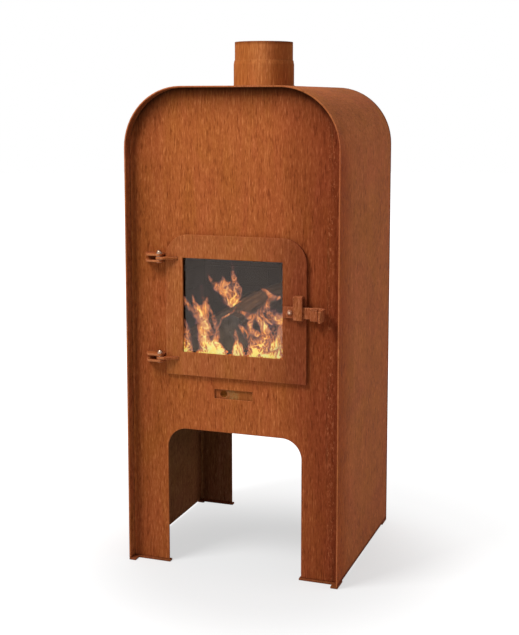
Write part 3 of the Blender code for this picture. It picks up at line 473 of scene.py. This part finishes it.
def round_flue(tree, place, axes, runs, colour):
    """The flue: a painted highlight down its front, darker at the lip, black with soot inside."""
    radius = radius_about(tree, place, "flue_spigot", (1, 1, 0))
    return tinted(
        tree,
        colour,
        # painted highlight: a pale band down the flue's front
        (spread(tree, apart(tree, axes["X"], 0.018), 0.040, 0.010), (1.31, 1.48, 1.78)),
        (spread(tree, added(tree, axes["Z"], runs, 0.006), 1.301, 1.3105), (0.60, 0.54, 0.50)),
        (spread(tree, radius, 0.0734, 0.0722), (0.13, 0.14, 0.17)),
    )


open_rust = weathered(
    "open_rust", 0.055, 0.200, marks=round_flue, tint=(0.93, 1.06, 0.94),
    dashes=0.95, drawn=(1, 1, 0.5), wear=0.1,
)
dress(open_rust, "flue_spigot", "flue_collar")
plate_rust = weathered(
    "plate_rust", 0.120, 0.290, marks=under_rim,
    dashes=1.25, drawn=(1.05, 1.05, 0.68), wear=0.45,
)
dress(plate_rust, "front_plate", "back_plate")
door_rust = weathered(
    "door_rust", 0.085, 0.235, tint=(0.955, 1.04, 1.15),
    dashes=1.2, drawn=(1.05, 1.05, 0.68), wear=0.15,
)
dress(door_rust, "door_plate")


# ---------------------------------------------------------------- fittings
# Small cut and bent pieces of the same steel, welded or screwed on: feet,
# hinge ears and leaves, the lever, its strap and keeper. Hands rub their
# edges pale, and the pale edges also carry a painted highlight.
fitting_rust, *_ = rusted(
    "fitting_rust", (212, 134, 94), (156, 84, 50), (106, 52, 28),
    dashes=1.2, clouds=0.8, relief=0.4, wear=1.7, rounding=0.0018,
)
dress(fitting_rust, "latch_keeper", "latch_strap", "latch_lever")
foot_rust, *_ = rusted(
    "foot_rust", (170, 98, 58), (130, 70, 38), (88, 44, 22),
    dashes=0.9, clouds=0.5, relief=0.3, wear=0.3, rounding=0.0013,
)
dress(foot_rust, "foot_plate")

# The hinges' cut front edges are paler than their faces.
hinge_rust, tree, shader, colour, place = rusted(
    "hinge_rust", (202, 122, 72), (156, 84, 44), (106, 52, 24),
    dashes=0.8, clouds=0.4, relief=0.3, wear=2.4, rounding=0.0018,
)
ear_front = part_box("hinge_ear_upper_top")[0].y
cut_edge = spread(tree, split(tree, place)["Y"], ear_front + 0.0010, ear_front + 0.0003)
colour = blend_colours(tree, product(tree, cut_edge, 0.35), colour, srgb(206, 134, 88))
feed(tree, shader, {"Base Color": colour})
dress(hinge_rust, "hinge_ear", "hinge_leaf")


# ---------------------------------------------------------------- air slide
# A flat plate that runs behind the slot, rubbed to khaki where fingers push
# it. A shallow cup, pressed from thin sheet, closes its finger hole behind.
slide_rust, tree, shader, colour, place = rusted(
    "slide_rust", (190, 116, 66), (152, 84, 42), (110, 56, 24),
    dashes=0.8, clouds=0.3, relief=0.3, wear=0.5,
)
off_grip = apart(tree, split(tree, place)["X"], -0.004)
smear = spread(tree, cloudy(tree, place, 130, 3, 0.6), 0.30, 0.60)
handled = product(tree, spread(tree, off_grip, 0.021, 0.010), smear)
feed(tree, shader, {"Base Color": tinted(tree, colour, (handled, (1.03, 1.65, 2.10)))})
dress(slide_rust, "air_slide")

cup_rust, *_ = rusted(
    "cup_rust", (160, 104, 46), (132, 78, 28), (90, 50, 12),
    dashes=0.6, clouds=0.8, relief=0.3, wear=0.0,
)
cup_place, cup_radius, cup_sheet = (-0.027, -0.2008, 0.4455), 0.0088, 0.0008
bpy.ops.object.select_all(action="DESELECT")
bpy.ops.mesh.primitive_circle_add(
    vertices=48, radius=cup_radius, fill_type="NGON",
    location=cup_place, rotation=(math.pi / 2, 0, 0),
)
cup = bpy.context.active_object
cup.name = "air_slide_cup"
cup.data.materials.append(cup_rust)
bpy.ops.object.transform_apply(location=True, rotation=True, scale=True)
bpy.ops.object.mode_set(mode="EDIT")
bpy.ops.mesh.select_mode(type="FACE")
bpy.ops.mesh.select_all(action="SELECT")
for narrower, deeper in ((0.0004, 0.0024), (0.0010, 0.0016), (0.0018, 0.0010), (0.0026, 0.0003)):
    bpy.ops.mesh.inset(thickness=narrower, depth=0)
    bpy.ops.transform.translate(value=(0, deeper, 0))
bpy.ops.mesh.poke()
bpy.ops.object.mode_set(mode="OBJECT")
wall = cup.modifiers.new("sheet", "SOLIDIFY")
wall.thickness, wall.offset = cup_sheet, 0
bpy.ops.object.modifier_apply(modifier=wall.name)
bpy.ops.object.shade_smooth_by_angle(angle=math.radians(50))
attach(cup, "slide")


# ---------------------------------------------------------------- inside steel
# Black steel as it comes from the mill, darkened by heat: floors, ash pan,
# baffle and its bars, slide runners and the strips that hold the glass.
mill_steel, tree, shader, place = new_material("mill_steel")
patches = cloudy(tree, place, 18, 5, 0.6, 0.8)
fine = cloudy(tree, place, 700, 3, 0.6)
tint = blend_colours(tree, spread(tree, patches, 0.35, 0.7), srgb(58, 53, 50), srgb(88, 70, 57))
feed(tree, shader, {
    "Base Color": blend_colours(tree, product(tree, fine, 0.35), tint, srgb(34, 31, 30)),
    "Roughness": added(tree, 0.45, patches, 0.3),
    "Normal": bumped(tree, fine, 0.25, 0.0004),
    "Metallic": 0.35,
})
dress(mill_steel, "casing_floor", "firebox_floor", "ash_pan", "baffle_", "slide_", "glass_strip")


# ---------------------------------------------------------------- fasteners
# Stainless domed nuts and glass screws, a little dulled; the hinge bolts,
# washers and latch screw are plain steel that has begun to rust.
bright_steel, tree, shader, place = new_material("bright_steel")
scuffs = cloudy(tree, stretched(tree, place, (1, 1, 6)), 420, 3, 0.6)
feed(tree, shader, {
    "Base Color": blend_colours(tree, scuffs, srgb(196, 166, 144), srgb(132, 106, 88)),
    "Roughness": added(tree, 0.14, scuffs, 0.22),
    "Metallic": 1.0,
})
dress(bright_steel, "hinge_cap_nut", "glass_screw")

worn_steel, tree, shader, place = new_material("worn_steel")
freckles = cloudy(tree, place, 520, 4, 0.65)
crown = radius_about(tree, place, "latch_screw", (1, 0, 1))
rusty = product(tree, spread(tree, freckles, 0.30, 0.50), spread(tree, crown, 0.0012, 0.0034))
feed(tree, shader, {
    "Base Color": blend_colours(tree, rusty, srgb(206, 176, 150), srgb(152, 84, 48)),
    "Roughness": added(tree, 0.26, rusty, 0.45),
    "Metallic": maths(tree, "SUBTRACT", 1.0, rusty),
    "Normal": bumped(tree, freckles, 0.3, 0.0004),
})
dress(worn_steel, "hinge_bolt", "hinge_washer", "latch_screw", "latch_washer")


# ---------------------------------------------------------------- grate
# One casting, loose on the rim of the firebox floor's opening: cast iron
# with a sandy skin, dull with soot.
cast_iron, tree, shader, place = new_material("cast_iron")
sand = cloudy(tree, place, 900, 4, 0.7)
soot = cloudy(tree, place, 30, 4, 0.6)
dull = spread(tree, soot, 0.3, 0.7)
feed(tree, shader, {
    "Base Color": blend_colours(tree, dull, srgb(42, 40, 39), srgb(66, 60, 55)),
    "Roughness": added(tree, 0.6, soot, 0.25),
    "Normal": bumped(tree, sand, 0.6, 0.0006),
    "Metallic": 0.5,
})
dress(cast_iron, "fire_grate")


# ---------------------------------------------------------------- fire boards
# Pressed fireproof board, 25 mm thick, scored like bricks and blackened by
# the fire. The hearth and its three walls stand loose in the casing.
def fire_board(name, turn, *pieces):
    """Board for one wall, turned so that its courses run level."""
    made, tree, shader, place = new_material(name)
    rotation = [math.radians(angle) for angle in turn]
    courses = put(tree, "TexBrick", {
        "Vector": put(tree, "Mapping", {"Vector": place, "Rotation": rotation}).outputs["Vector"],
        "Scale": 1.0,
        "Mortar Size": 0.0022,
        "Mortar Smooth": 0.6,
        "Brick Width": 0.110,
        "Row Height": 0.054,
    }).outputs["Fac"]
    chips = cloudy(tree, place, 260, 5, 0.7)
    smoke = spread(tree, upright(tree, place, 0.6, 9, 4, 0.6, 0.6), 0.3, 0.75)
    clean = blend_colours(tree, chips, srgb(66, 61, 56), srgb(46, 42, 39))
    burnt = blend_colours(tree, smoke, srgb(30, 28, 27), clean)
    feed(tree, shader, {
        "Base Color": blend_colours(tree, courses, burnt, srgb(22, 20, 19)),
        "Normal": bumped(tree, added(tree, chips, courses, -2.4), 0.25, 0.0012),
        "Roughness": 0.95,
        "Specular IOR Level": 0.1,
    })
    dress(made, *pieces)


fire_board("hearth_fire_board", (0, 0, 0), "hearth_board")
fire_board("back_fire_board", (-90, 0, 0), "liner_back")
fire_board("side_fire_board", (0, 90, 90), "liner_left", "liner_right")


# ---------------------------------------------------------------- seals
# Knitted glass-fibre tape: glued flat on the door's back round the opening,
# and pressed between the door and the glass.
knit, tree, shader, place = new_material("knitted_fibre")
bands = {"wave_type": "BANDS", "bands_direction": "DIAGONAL"}
wave = put(tree, "TexWave", {"Vector": place, "Scale": 260, "Distortion": 0.6}, **bands)
ribs = wave.outputs["Fac"]
fuzz = cloudy(tree, place, 1400, 3, 0.7)
feed(tree, shader, {
    "Base Color": blend_colours(tree, ribs, srgb(48, 46, 44), srgb(86, 82, 78)),
    "Normal": bumped(tree, added(tree, ribs, fuzz, 0.4), 0.8, 0.0008),
    "Roughness": 0.95,
})
dress(knit, "door_seal", "glass_gasket")


# ---------------------------------------------------------------- glass
# Ceramic glass, 4 mm, clamped behind the door by two strips. It is a little
# smoky, more so in its corners, and mirrors the white room faintly.
smoky_glass, tree, shader, place = new_material("smoky_glass")
film = cloudy(tree, place, 16, 5, 0.65, 0.3)
to_window = {"Vector": place, "Location": (0, 0, -4.42), "Scale": (5.2, 0, 6.67)}
window = put(tree, "Mapping", to_window).outputs["Vector"]
to_corner = put(tree, "VectorMath", {0: window}, operation="LENGTH").outputs["Value"]
sooty = spread(tree, added(tree, to_corner, film, 0.5), 0.85, 1.5)
feed(tree, shader, {
    "Base Color": blend_colours(tree, sooty, (0.90, 0.88, 0.85, 1), (0.62, 0.56, 0.50, 1)),
    "Roughness": 0.0,
    "Transmission Weight": 1.0,
    "IOR": 1.40,
    "Specular Tint": (0.86, 0.75, 0.69, 1),
})
dress(smoky_glass, "door_glass")


# ---------------------------------------------------------------- welds
# Short rippled beads that hold the ears, keeper, strap, leaves and feet, and
# a ring round the flue collar. They rust like what they join.
weld_rust, *_ = rusted(
    "weld_rust", (172, 100, 60), (126, 66, 36), (84, 40, 20),
    dashes=0.9, clouds=0.5, relief=0.3, wear=0.2, rounding=0.0006,
)


def start_bar(name, sides, thick, length, *finishes):
    """A round bar in edit mode, with its long edges selected."""
    bpy.ops.object.select_all(action="DESELECT")
    bpy.ops.mesh.primitive_cylinder_add(vertices=sides, radius=thick / 2, depth=length)
    bar = bpy.context.active_object
    bar.name = name
    for finish in finishes:
        bar.data.materials.append(finish)
    bpy.ops.object.mode_set(mode="EDIT")
    shape = bmesh.from_edit_mesh(bar.data)
    for edge in shape.edges:
        edge.select_set(abs(edge.verts[0].co.z - edge.verts[1].co.z) > thick / 2)
    bmesh.update_edit_mesh(bar.data)
    return bar


def lay_bar(bar, start, end, smoothed):
    """Turns the bar to lie from start to end, and shades its round parts smooth."""
    bar.rotation_euler = (Vector(end) - Vector(start)).to_track_quat("Z", "Y").to_euler()
    bar.location = (Vector(start) + Vector(end)) / 2
    bpy.ops.object.transform_apply(location=True, rotation=True, scale=True)
    bpy.ops.object.shade_smooth_by_angle(angle=math.radians(smoothed))


def ripple(turn):
    """How far a bead swells, at so many ripples from its start."""
    return 0.86 + 0.26 * (turn % 1) ** 0.6


def make_bead(name, left, right, deep, level, thick, body):
    """A bead from left to right; its ripples are cut, swollen and left uneven."""
    start, end = (left, deep, level), (right, deep, level)
    length = (Vector(end) - Vector(start)).length
    bead = start_bar(name, 14, thick, length, weld_rust)
    pitch, cuts = 0.0016, 4
    ripples = max(int(length / pitch), 3)
    bpy.ops.mesh.subdivide(number_cuts=ripples * cuts - 1)
    bpy.ops.object.mode_set(mode="OBJECT")
    half = length / 2
    for point in bead.data.vertices:
        x, y, z = point.co
        uneven = noise.noise((z * 300, left * 90, level * 50)) * 0.12
        swell = ripple((z + half) / length * ripples) + uneven
        taper = min(1, 0.45 + (half - abs(z)) / thick)
        point.co = (x * swell * taper, y * swell * taper, z)
    lay_bar(bead, start, end, smoothed=60)
    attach(bead, body)


for label in ("upper", "lower"):
    for side, sign in (("top", 1), ("bottom", -1)):
        low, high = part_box(f"hinge_ear_{label}_{side}")
        make_bead(
            f"weld_ear_{label}_{side}", left=low.x + 0.003, right=high.x - 0.003,
            deep=high.y - 0.0007, level=(high.z if sign > 0 else low.z) + sign * 0.0005,
            thick=0.0028, body="casing",
        )
    low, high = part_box(f"hinge_leaf_{label}")
    for side, level in (("top", high.z + 0.0001), ("bottom", low.z - 0.0001)):
        make_bead(
            f"weld_leaf_{label}_{side}", left=high.x - 0.026, right=high.x - 0.001,
            deep=high.y - 0.0002, level=level, thick=0.0024, body="door",
        )
for name, body in (("latch_keeper", "casing"), ("latch_strap", "door")):
    low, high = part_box(name)
    for side, level in (("top", high.z + 0.0003), ("bottom", low.z - 0.0003)):
        make_bead(
            f"weld_{name}_{side}", left=low.x + 0.001, right=high.x - 0.001,
            deep=high.y - 0.0005, level=level, thick=0.0034, body=body,
        )
for name in [name for name in nodes if name.startswith("foot_plate")]:
    low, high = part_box(name)
    at_front = "front" in name
    plate_low, plate_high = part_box("front_plate" if at_front else "back_plate")
    make_bead(
        "weld_" + name, left=low.x + 0.008, right=high.x - 0.008,
        deep=plate_high.y if at_front else plate_low.y, level=high.z + 0.0008,
        thick=0.0045, body="casing",
    )

low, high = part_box("flue_collar")
ring_radius, ring_thick, ring_ripples = (high.x - low.x) / 2 + 0.0006, 0.0042, 96
bpy.ops.object.select_all(action="DESELECT")
bpy.ops.mesh.primitive_torus_add(
    major_segments=ring_ripples * 3, minor_segments=10,
    major_radius=ring_radius, minor_radius=ring_thick / 2,
)
ring = bpy.context.active_object
ring.name = "weld_flue_collar"
ring.data.materials.append(weld_rust)
for point in ring.data.vertices:
    turn = math.atan2(point.co.y, point.co.x) / math.tau * ring_ripples
    centre = Vector((point.co.x, point.co.y, 0)).normalized() * ring_radius
    point.co = centre + (point.co - centre) * ripple(turn)
ring.location = ((low.x + high.x) / 2, (low.y + high.y) / 2, low.z + 0.0006)
bpy.ops.object.transform_apply(location=True, rotation=True, scale=True)
bpy.ops.object.shade_smooth_by_angle(angle=math.radians(60))
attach(ring, "casing")


# ---------------------------------------------------------------- logs
# Round firewood on the hearth, as the stove is shown in use: charred bark
# with ridges along the log, pale ash on it and glowing cracks underneath.
black = (0, 0, 0, 1)
charred_bark, tree, shader, place = new_material("charred_bark")
along = put(tree, "TexCoord").outputs["UV"]
ridges = cloudy(tree, stretched(tree, along, (1, 0.16, 1)), 46, 4, 0.65, 0.4)
ash = spread(tree, cloudy(tree, place, 60, 5, 0.7), 0.55, 0.75)
bark = blend_colours(tree, spread(tree, ridges, 0.35, 0.65), srgb(28, 25, 24), srgb(84, 76, 70))
low_down = spread(tree, split(tree, place)["Z"], 0.556, 0.508)
cracks = product(tree, spread(tree, ridges, 0.46, 0.34), low_down)
feed(tree, shader, {
    "Base Color": blend_colours(tree, ash, bark, srgb(128, 122, 116)),
    "Emission Color": blend_colours(tree, cracks, black, srgb(255, 96, 20)),
    "Emission Strength": 1.6,
    "Normal": bumped(tree, ridges, 0.7, 0.003),
    "Roughness": 0.92,
})

sawn_end, tree, shader, place = new_material("sawn_end")
disc = put(tree, "TexCoord").outputs["UV"]
rings = put(tree, "TexNoise", {"Vector": disc, "Scale": 9, "Detail": 3}).outputs["Fac"]
grain = cloudy(tree, place, 240, 4, 0.7)
wood = spread(tree, added(tree, rings, grain, 0.4), 0.4, 0.9)
feed(tree, shader, {
    "Base Color": blend_colours(tree, wood, srgb(36, 33, 31), srgb(88, 80, 72)),
    "Normal": bumped(tree, grain, 0.5, 0.002),
    "Roughness": 0.95,
})


def make_log(name, near, far, thick, seed):
    """A log between two points: rings are cut along it, then bark is raised."""
    length = (Vector(far) - Vector(near)).length
    log = start_bar(name, 72, thick, length, charred_bark, sawn_end)
    bpy.ops.mesh.subdivide(number_cuts=56)
    shape = bmesh.from_edit_mesh(log.data)
    shape.select_mode = {"FACE"}
    shape.select_flush_mode()
    for face in shape.faces:
        is_end = len(face.verts) > 4
        face.select_set(is_end)
        face.material_index = int(is_end)
    bmesh.update_edit_mesh(log.data)
    bpy.ops.mesh.select_mode(type="FACE")
    for width in (0.04, 0.16, 0.16, 0.16, 0.16):
        bpy.ops.mesh.inset(thickness=width * thick, use_even_offset=False)
    bpy.ops.mesh.poke()
    bpy.ops.object.mode_set(mode="OBJECT")
    half = length / 2
    for point in log.data.vertices:
        x, y, z = point.co
        out = math.hypot(x, y) / (thick / 2)
        turn = Vector((x, y, 0)).normalized() if out > 0.02 else Vector()
        swell = noise.noise((x * 14 + seed, y * 14, z * 9)) * 0.10
        ridge = 1 - abs(noise.noise((turn.x * 4.2 + seed, turn.y * 4.2, z * 16))) * 2
        fine = noise.noise((turn.x * 11, turn.y * 11 + seed, z * 42))
        lift = (swell + (0.05 * ridge + 0.025 * fine) * (out > 0.9)) * thick
        point.co = Vector((x, y, z)) + turn * lift * out
        if abs(z) > half - 0.001:
            point.co.z += noise.noise((x * 60, y * 60, seed)) * 0.004 * (out < 0.95)
    lay_bar(log, near, far, smoothed=50)
    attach(log, "casing")


hearth_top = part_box("hearth_board")[1].z
for name, (x0, y0, up0), (x1, y1, up1), thick, seed in (
    ("log_back", (-0.185, 0.088, 0.044), (0.172, 0.060, 0.047), 0.080, 3.1),
    ("log_left", (-0.150, -0.125, 0.040), (-0.060, 0.135, 0.112), 0.072, 8.4),
    ("log_front", (-0.038, -0.128, 0.086), (0.050, 0.112, 0.132), 0.106, 5.7),
    ("log_right", (0.196, -0.120, 0.040), (0.118, 0.130, 0.108), 0.070, 1.9),
):
    make_log(name, (x0, y0, hearth_top + up0), (x1, y1, hearth_top + up1), thick, seed)


# ---------------------------------------------------------------- embers
# A bed of glowing charcoal on the grate and hearth, burnt from the logs. A
# small lamp over the logs gives the fire's light to the boards.
ember, tree, shader, place = new_material("ember")
crust_and_painted_light = cloudy(tree, place, 150, 5, 0.7, 0.6)
burnt = spread(tree, crust_and_painted_light, 0.42, 0.66)
glow = spread(tree, cloudy(tree, place, 95, 3, 0.6, 0.4), 0.56, 0.36)
feed(tree, shader, {
    "Base Color": blend_colours(tree, burnt, srgb(30, 26, 25), srgb(150, 142, 134)),
    "Emission Color": blend_colours(tree, glow, black, srgb(255, 134, 52)),
    "Emission Strength": 1.3,
    "Normal": bumped(tree, crust_and_painted_light, 0.8, 0.002),
    "Roughness": 0.95,
})

lump_count, golden_angle = 90, 2.39996
bed_width, bed_depth, bed_forward = 0.185, 0.155, 0.005
grate_rim = 0.014
grate_low, grate_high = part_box("fire_grate")
bpy.ops.object.select_all(action="DESELECT")
lumps = []
for number in range(lump_count):
    turn, reach = number * golden_angle, math.sqrt((number + 0.5) / lump_count)
    x = math.cos(turn) * reach * bed_width
    y = math.sin(turn) * reach * bed_depth - bed_forward
    over_x = grate_low.x + grate_rim < x < grate_high.x - grate_rim
    over_y = grate_low.y + grate_rim < y < grate_high.y - grate_rim
    under = grate_high.z if over_x and over_y else hearth_top
    size = 0.0085 + 0.0045 * math.sin(number * 1.7) ** 2
    bpy.ops.mesh.primitive_ico_sphere_add(subdivisions=2, radius=size, location=(0, 0, 0))
    lump = bpy.context.active_object
    for point in lump.data.vertices:
        dent = noise.noise(point.co * 120 + Vector((number * 3.3, 0, 0)))
        wide = Vector((point.co.x * 1.3, point.co.y, point.co.z * 0.8))
        point.co = wide * (1 + 0.45 * dent)
    lump.rotation_euler = (0, 0, number * 1.3)
    lump.location = (x, y, under + size * 0.62)
    lumps.append(lump)
for lump in lumps:
    lump.select_set(True)
bpy.context.view_layer.objects.active = lumps[0]
bpy.ops.object.join()
bed = bpy.context.active_object
bed.name = "ember_bed"
bpy.ops.object.transform_apply(location=True, rotation=True, scale=True)
bed.data.materials.append(ember)
bpy.ops.object.shade_smooth_by_angle(angle=math.radians(35))
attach(bed, "casing")

bpy.ops.object.light_add(type="POINT", location=(-0.010, -0.090, hearth_top + 0.240))
firelight = bpy.context.active_object
firelight.name = "firelight"
firelight.data.color = (1.0, 0.42, 0.14)
firelight.data.energy = 0.60
firelight.data.shadow_soft_size = 0.03
firelight.visible_camera = firelight.visible_glossy = firelight.visible_transmission = False


# ---------------------------------------------------------------- flames
# Fire over the logs. Each flame is a thin sheet cut to its own outline,
# with its heat stored at every point: clear edge, orange body, pale core.
# Fine bright threads run up through it.
fire, tree, shader, place = new_material("fire")
heat = put(tree, "Attribute", attribute_name="fire_heat").outputs["Fac"]
swirl = put(tree, "TexNoise", {"Vector": place, "Scale": 17, "Detail": 2}).outputs["Color"]
either_way = {0: swirl, 1: (0.5, 0.5, 0.5)}
curl = put(tree, "VectorMath", either_way, operation="SUBTRACT").outputs["Vector"]
by_curl = {0: curl, 1: (0.05, 0.05, 0.05), 2: place}
curled = put(tree, "VectorMath", by_curl, operation="MULTIPLY_ADD").outputs["Vector"]
body = spread(tree, cloudy(tree, curled, 34, 3, 0.6), 0.36, 0.66)
total = added(tree, 0.22, body, 0.44)
for size, sharp, share in ((58, 18, 0.43), (118, 13, 0.36)):
    wander = apart(tree, upright(tree, curled, 0.46, size, 2, 0.5), 0.5)
    thread = maths(tree, "MULTIPLY_ADD", wander, -sharp, 1.0, clamp=True)
    total = added(tree, total, thread, share)
total = product(tree, total, heat)
ramp = put(tree, "ValToRGB", {0: total})
stops = (
    (0.0, (104, 74, 88)),
    (0.20, (146, 94, 88)),
    (0.42, (184, 114, 80)),
    (0.62, (220, 144, 92)),
    (0.80, (247, 180, 108)),
    (0.92, (255, 214, 132)),
    (1.0, (255, 250, 156)),
)
while len(ramp.color_ramp.elements) < len(stops):
    ramp.color_ramp.elements.new(0.5)
for stop, (where, colour) in zip(ramp.color_ramp.elements, stops):
    stop.position, stop.color = where, srgb(*colour)
amber = spread(tree, cloudy(tree, curled, 48, 2, 0.5), 0.40, 0.60)
mauve = spread(tree, heat, 0.50, 0.12)
colour = tinted(
    tree, ramp.outputs["Color"], (amber, (1.10, 0.90, 0.60)), (mauve, (0.80, 0.84, 1.70))
)
feed(tree, shader, {
    "Emission Color": colour,
    "Alpha": spread(tree, total, 0.06, 0.46),
    "Base Color": black,
    "Emission Strength": 1.0,
    "Roughness": 1.0,
    "Specular IOR Level": 0.0,
})


def flame_heat(x, z, tongues, seed):
    """How hot the sheet is at a point: hottest along its tongues."""
    wave = noise.noise((x * 22 + seed, z * 18, seed)) * 0.008
    x += wave + noise.noise((x * 64, z * 48 + seed, seed)) * 0.004
    z += noise.noise((x * 26, z * 20 + seed, 5.1)) * 0.008
    hottest = 0.0
    for tongue in tongues:
        for (x0, z0, wide0, hot0), (x1, z1, wide1, hot1) in zip(tongue, tongue[1:]):
            run, rise = x1 - x0, z1 - z0
            along = min(max(((x - x0) * run + (z - z0) * rise) / (run * run + rise * rise), 0), 1)
            off = math.hypot(x - x0 - run * along, z - z0 - rise * along)
            wide = (wide0 + (wide1 - wide0) * along) * 1.25
            if off < wide:
                hot = hot0 + (hot1 - hot0) * along
                hottest = max(hottest, hot * (1 - (off / wide) ** 2))
    return hottest * (1 + 0.95 * min(max((0.080 - z) / 0.045, 0), 1))


sheet_width, sheet_height, sheet_foot, coldest = 0.40, 0.25, 0.004, 0.004


def make_flame(name, deep, seed, drawing):
    """A sheet of fine mesh round its tongues; what is cold is cut away.

    The drawing has a line of points for each tongue: across, above the hearth
    and half its width in millimetres, and heat in hundredths.
    """
    tongues = [
        [(x / 1000, z / 1000, wide / 1000, hot / 100) for x, z, wide, hot in tongue]
        for tongue in drawing
    ]
    bpy.ops.object.select_all(action="DESELECT")
    bpy.ops.mesh.primitive_grid_add(x_subdivisions=170, y_subdivisions=130, size=1)
    sheet = bpy.context.active_object
    sheet.name = name
    sheet.data.materials.append(fire)
    heats = []
    for point in sheet.data.vertices:
        x, up = point.co.x * sheet_width, sheet_foot + (point.co.y + 0.5) * sheet_height
        wave = noise.noise((x * 12, up * 9, seed)) * 0.03
        point.co = (x, deep + wave, hearth_top + up)
        heats.append(flame_heat(x, up, tongues, seed))
    store = sheet.data.attributes.new("fire_heat", "FLOAT", "POINT")
    store.data.foreach_set("value", heats)
    bpy.ops.object.mode_set(mode="EDIT")
    bpy.ops.mesh.select_mode(type="VERT")
    bpy.ops.mesh.select_all(action="DESELECT")
    shape = bmesh.from_edit_mesh(sheet.data)
    layer = shape.verts.layers.float["fire_heat"]
    for point in shape.verts:
        point.select_set(point[layer] <= coldest)
    bmesh.update_edit_mesh(sheet.data)
    bpy.ops.mesh.delete(type="VERT")
    bpy.ops.object.mode_set(mode="OBJECT")
    bpy.ops.object.shade_smooth()
    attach(sheet, "casing")


make_flame("flame_front", -0.165, 2.3, (
    ((-78, 36, 24, 105), (-88, 82, 18, 95), (-101, 120, 19, 95), (-110, 150, 12, 85),
     (-119, 180, 3, 50)),
    ((-101, 120, 16, 90), (-91, 152, 12, 85), (-87, 180, 3, 50)),
    ((-92, 160, 6, 60), (-96, 188, 5, 50), (-97, 208, 3, 35)),
    ((-98, 28, 20, 115), (-50, 30, 20, 110)),
    ((-83, 152, 4, 50), (-66, 128, 6, 60), (-58, 98, 7, 65), (-68, 66, 10, 75), (-50, 50, 14, 95)),
    ((-83, 152, 3, 45), (-82, 118, 5, 55), (-70, 84, 7, 60)),
    ((-150, 26, 20, 80), (-141, 78, 13, 75), (-149, 114, 4, 50)),
    ((-154, 192, 4, 45), (-139, 157, 9, 60), (-114, 122, 10, 60)),
    ((-58, 90, 2, 60), (-42, 126, 2.5, 80), (-14, 160, 3, 80)),
    ((3, 34, 18, 115), (1, 66, 12, 95), (-10, 96, 4, 60)),
    ((-6, 146, 4, 60), (18, 138, 8, 70), (36, 132, 11, 85), (54, 138, 9, 80), (58, 156, 3, 50)),
    ((36, 130, 9, 80), (28, 108, 8, 75), (46, 92, 10, 85)),
    ((56, 134, 9, 85), (70, 114, 13, 95), (73, 94, 14, 95), (58, 74, 16, 100),
     (45, 56, 17, 105), (42, 30, 18, 115)),
    ((-2, 108, 5, 60), (20, 96, 8, 75), (36, 78, 11, 85), (42, 56, 12, 95)),
    ((62, 34, 12, 90), (84, 40, 14, 110), (110, 56, 14, 110)),
    ((58, 204, 3, 45), (84, 192, 8, 75), (108, 188, 6, 60)),
    ((84, 190, 6, 60), (78, 166, 9, 80), (64, 154, 5, 55)),
    ((78, 166, 9, 85), (92, 144, 12, 95), (112, 134, 12, 95)),
    ((64, 154, 5, 55), (70, 136, 7, 70), (90, 128, 7, 70)),
    ((108, 60, 6, 50), (104, 96, 6, 50), (109, 126, 4, 50)),
))
make_flame("flame_middle", -0.060, 7.9, (
    ((-50, 60, 16, 70), (-56, 112, 12, 90), (-52, 136, 17, 110), (-66, 160, 25, 115),
     (-78, 186, 21, 105), (-88, 212, 4, 60)),
    ((-56, 150, 15, 110), (-48, 184, 14, 105), (-50, 216, 4, 60)),
    ((-76, 174, 19, 100), (-50, 174, 14, 100)),
    ((-54, 190, 10, 80), (-58, 224, 8, 60), (-62, 248, 4, 40)),
    ((-79, 168, 14, 90), (-105, 184, 11, 70), (-120, 206, 7, 50), (-126, 222, 3, 35)),
    ((60, 40, 30, 80), (70, 100, 18, 60), (60, 140, 4, 40)),
    ((-150, 40, 30, 80), (-145, 90, 15, 50), (-155, 120, 3, 40)),
))
make_flame("flame_back", 0.030, 4.6, (
    ((44, 40, 22, 80), (28, 95, 15, 70), (9, 130, 6, 50)),
    ((-100, 30, 34, 80), (-95, 70, 20, 60), (-105, 100, 4, 40)),
    ((120, 30, 34, 80), (125, 80, 18, 60), (115, 120, 4, 40)),
))
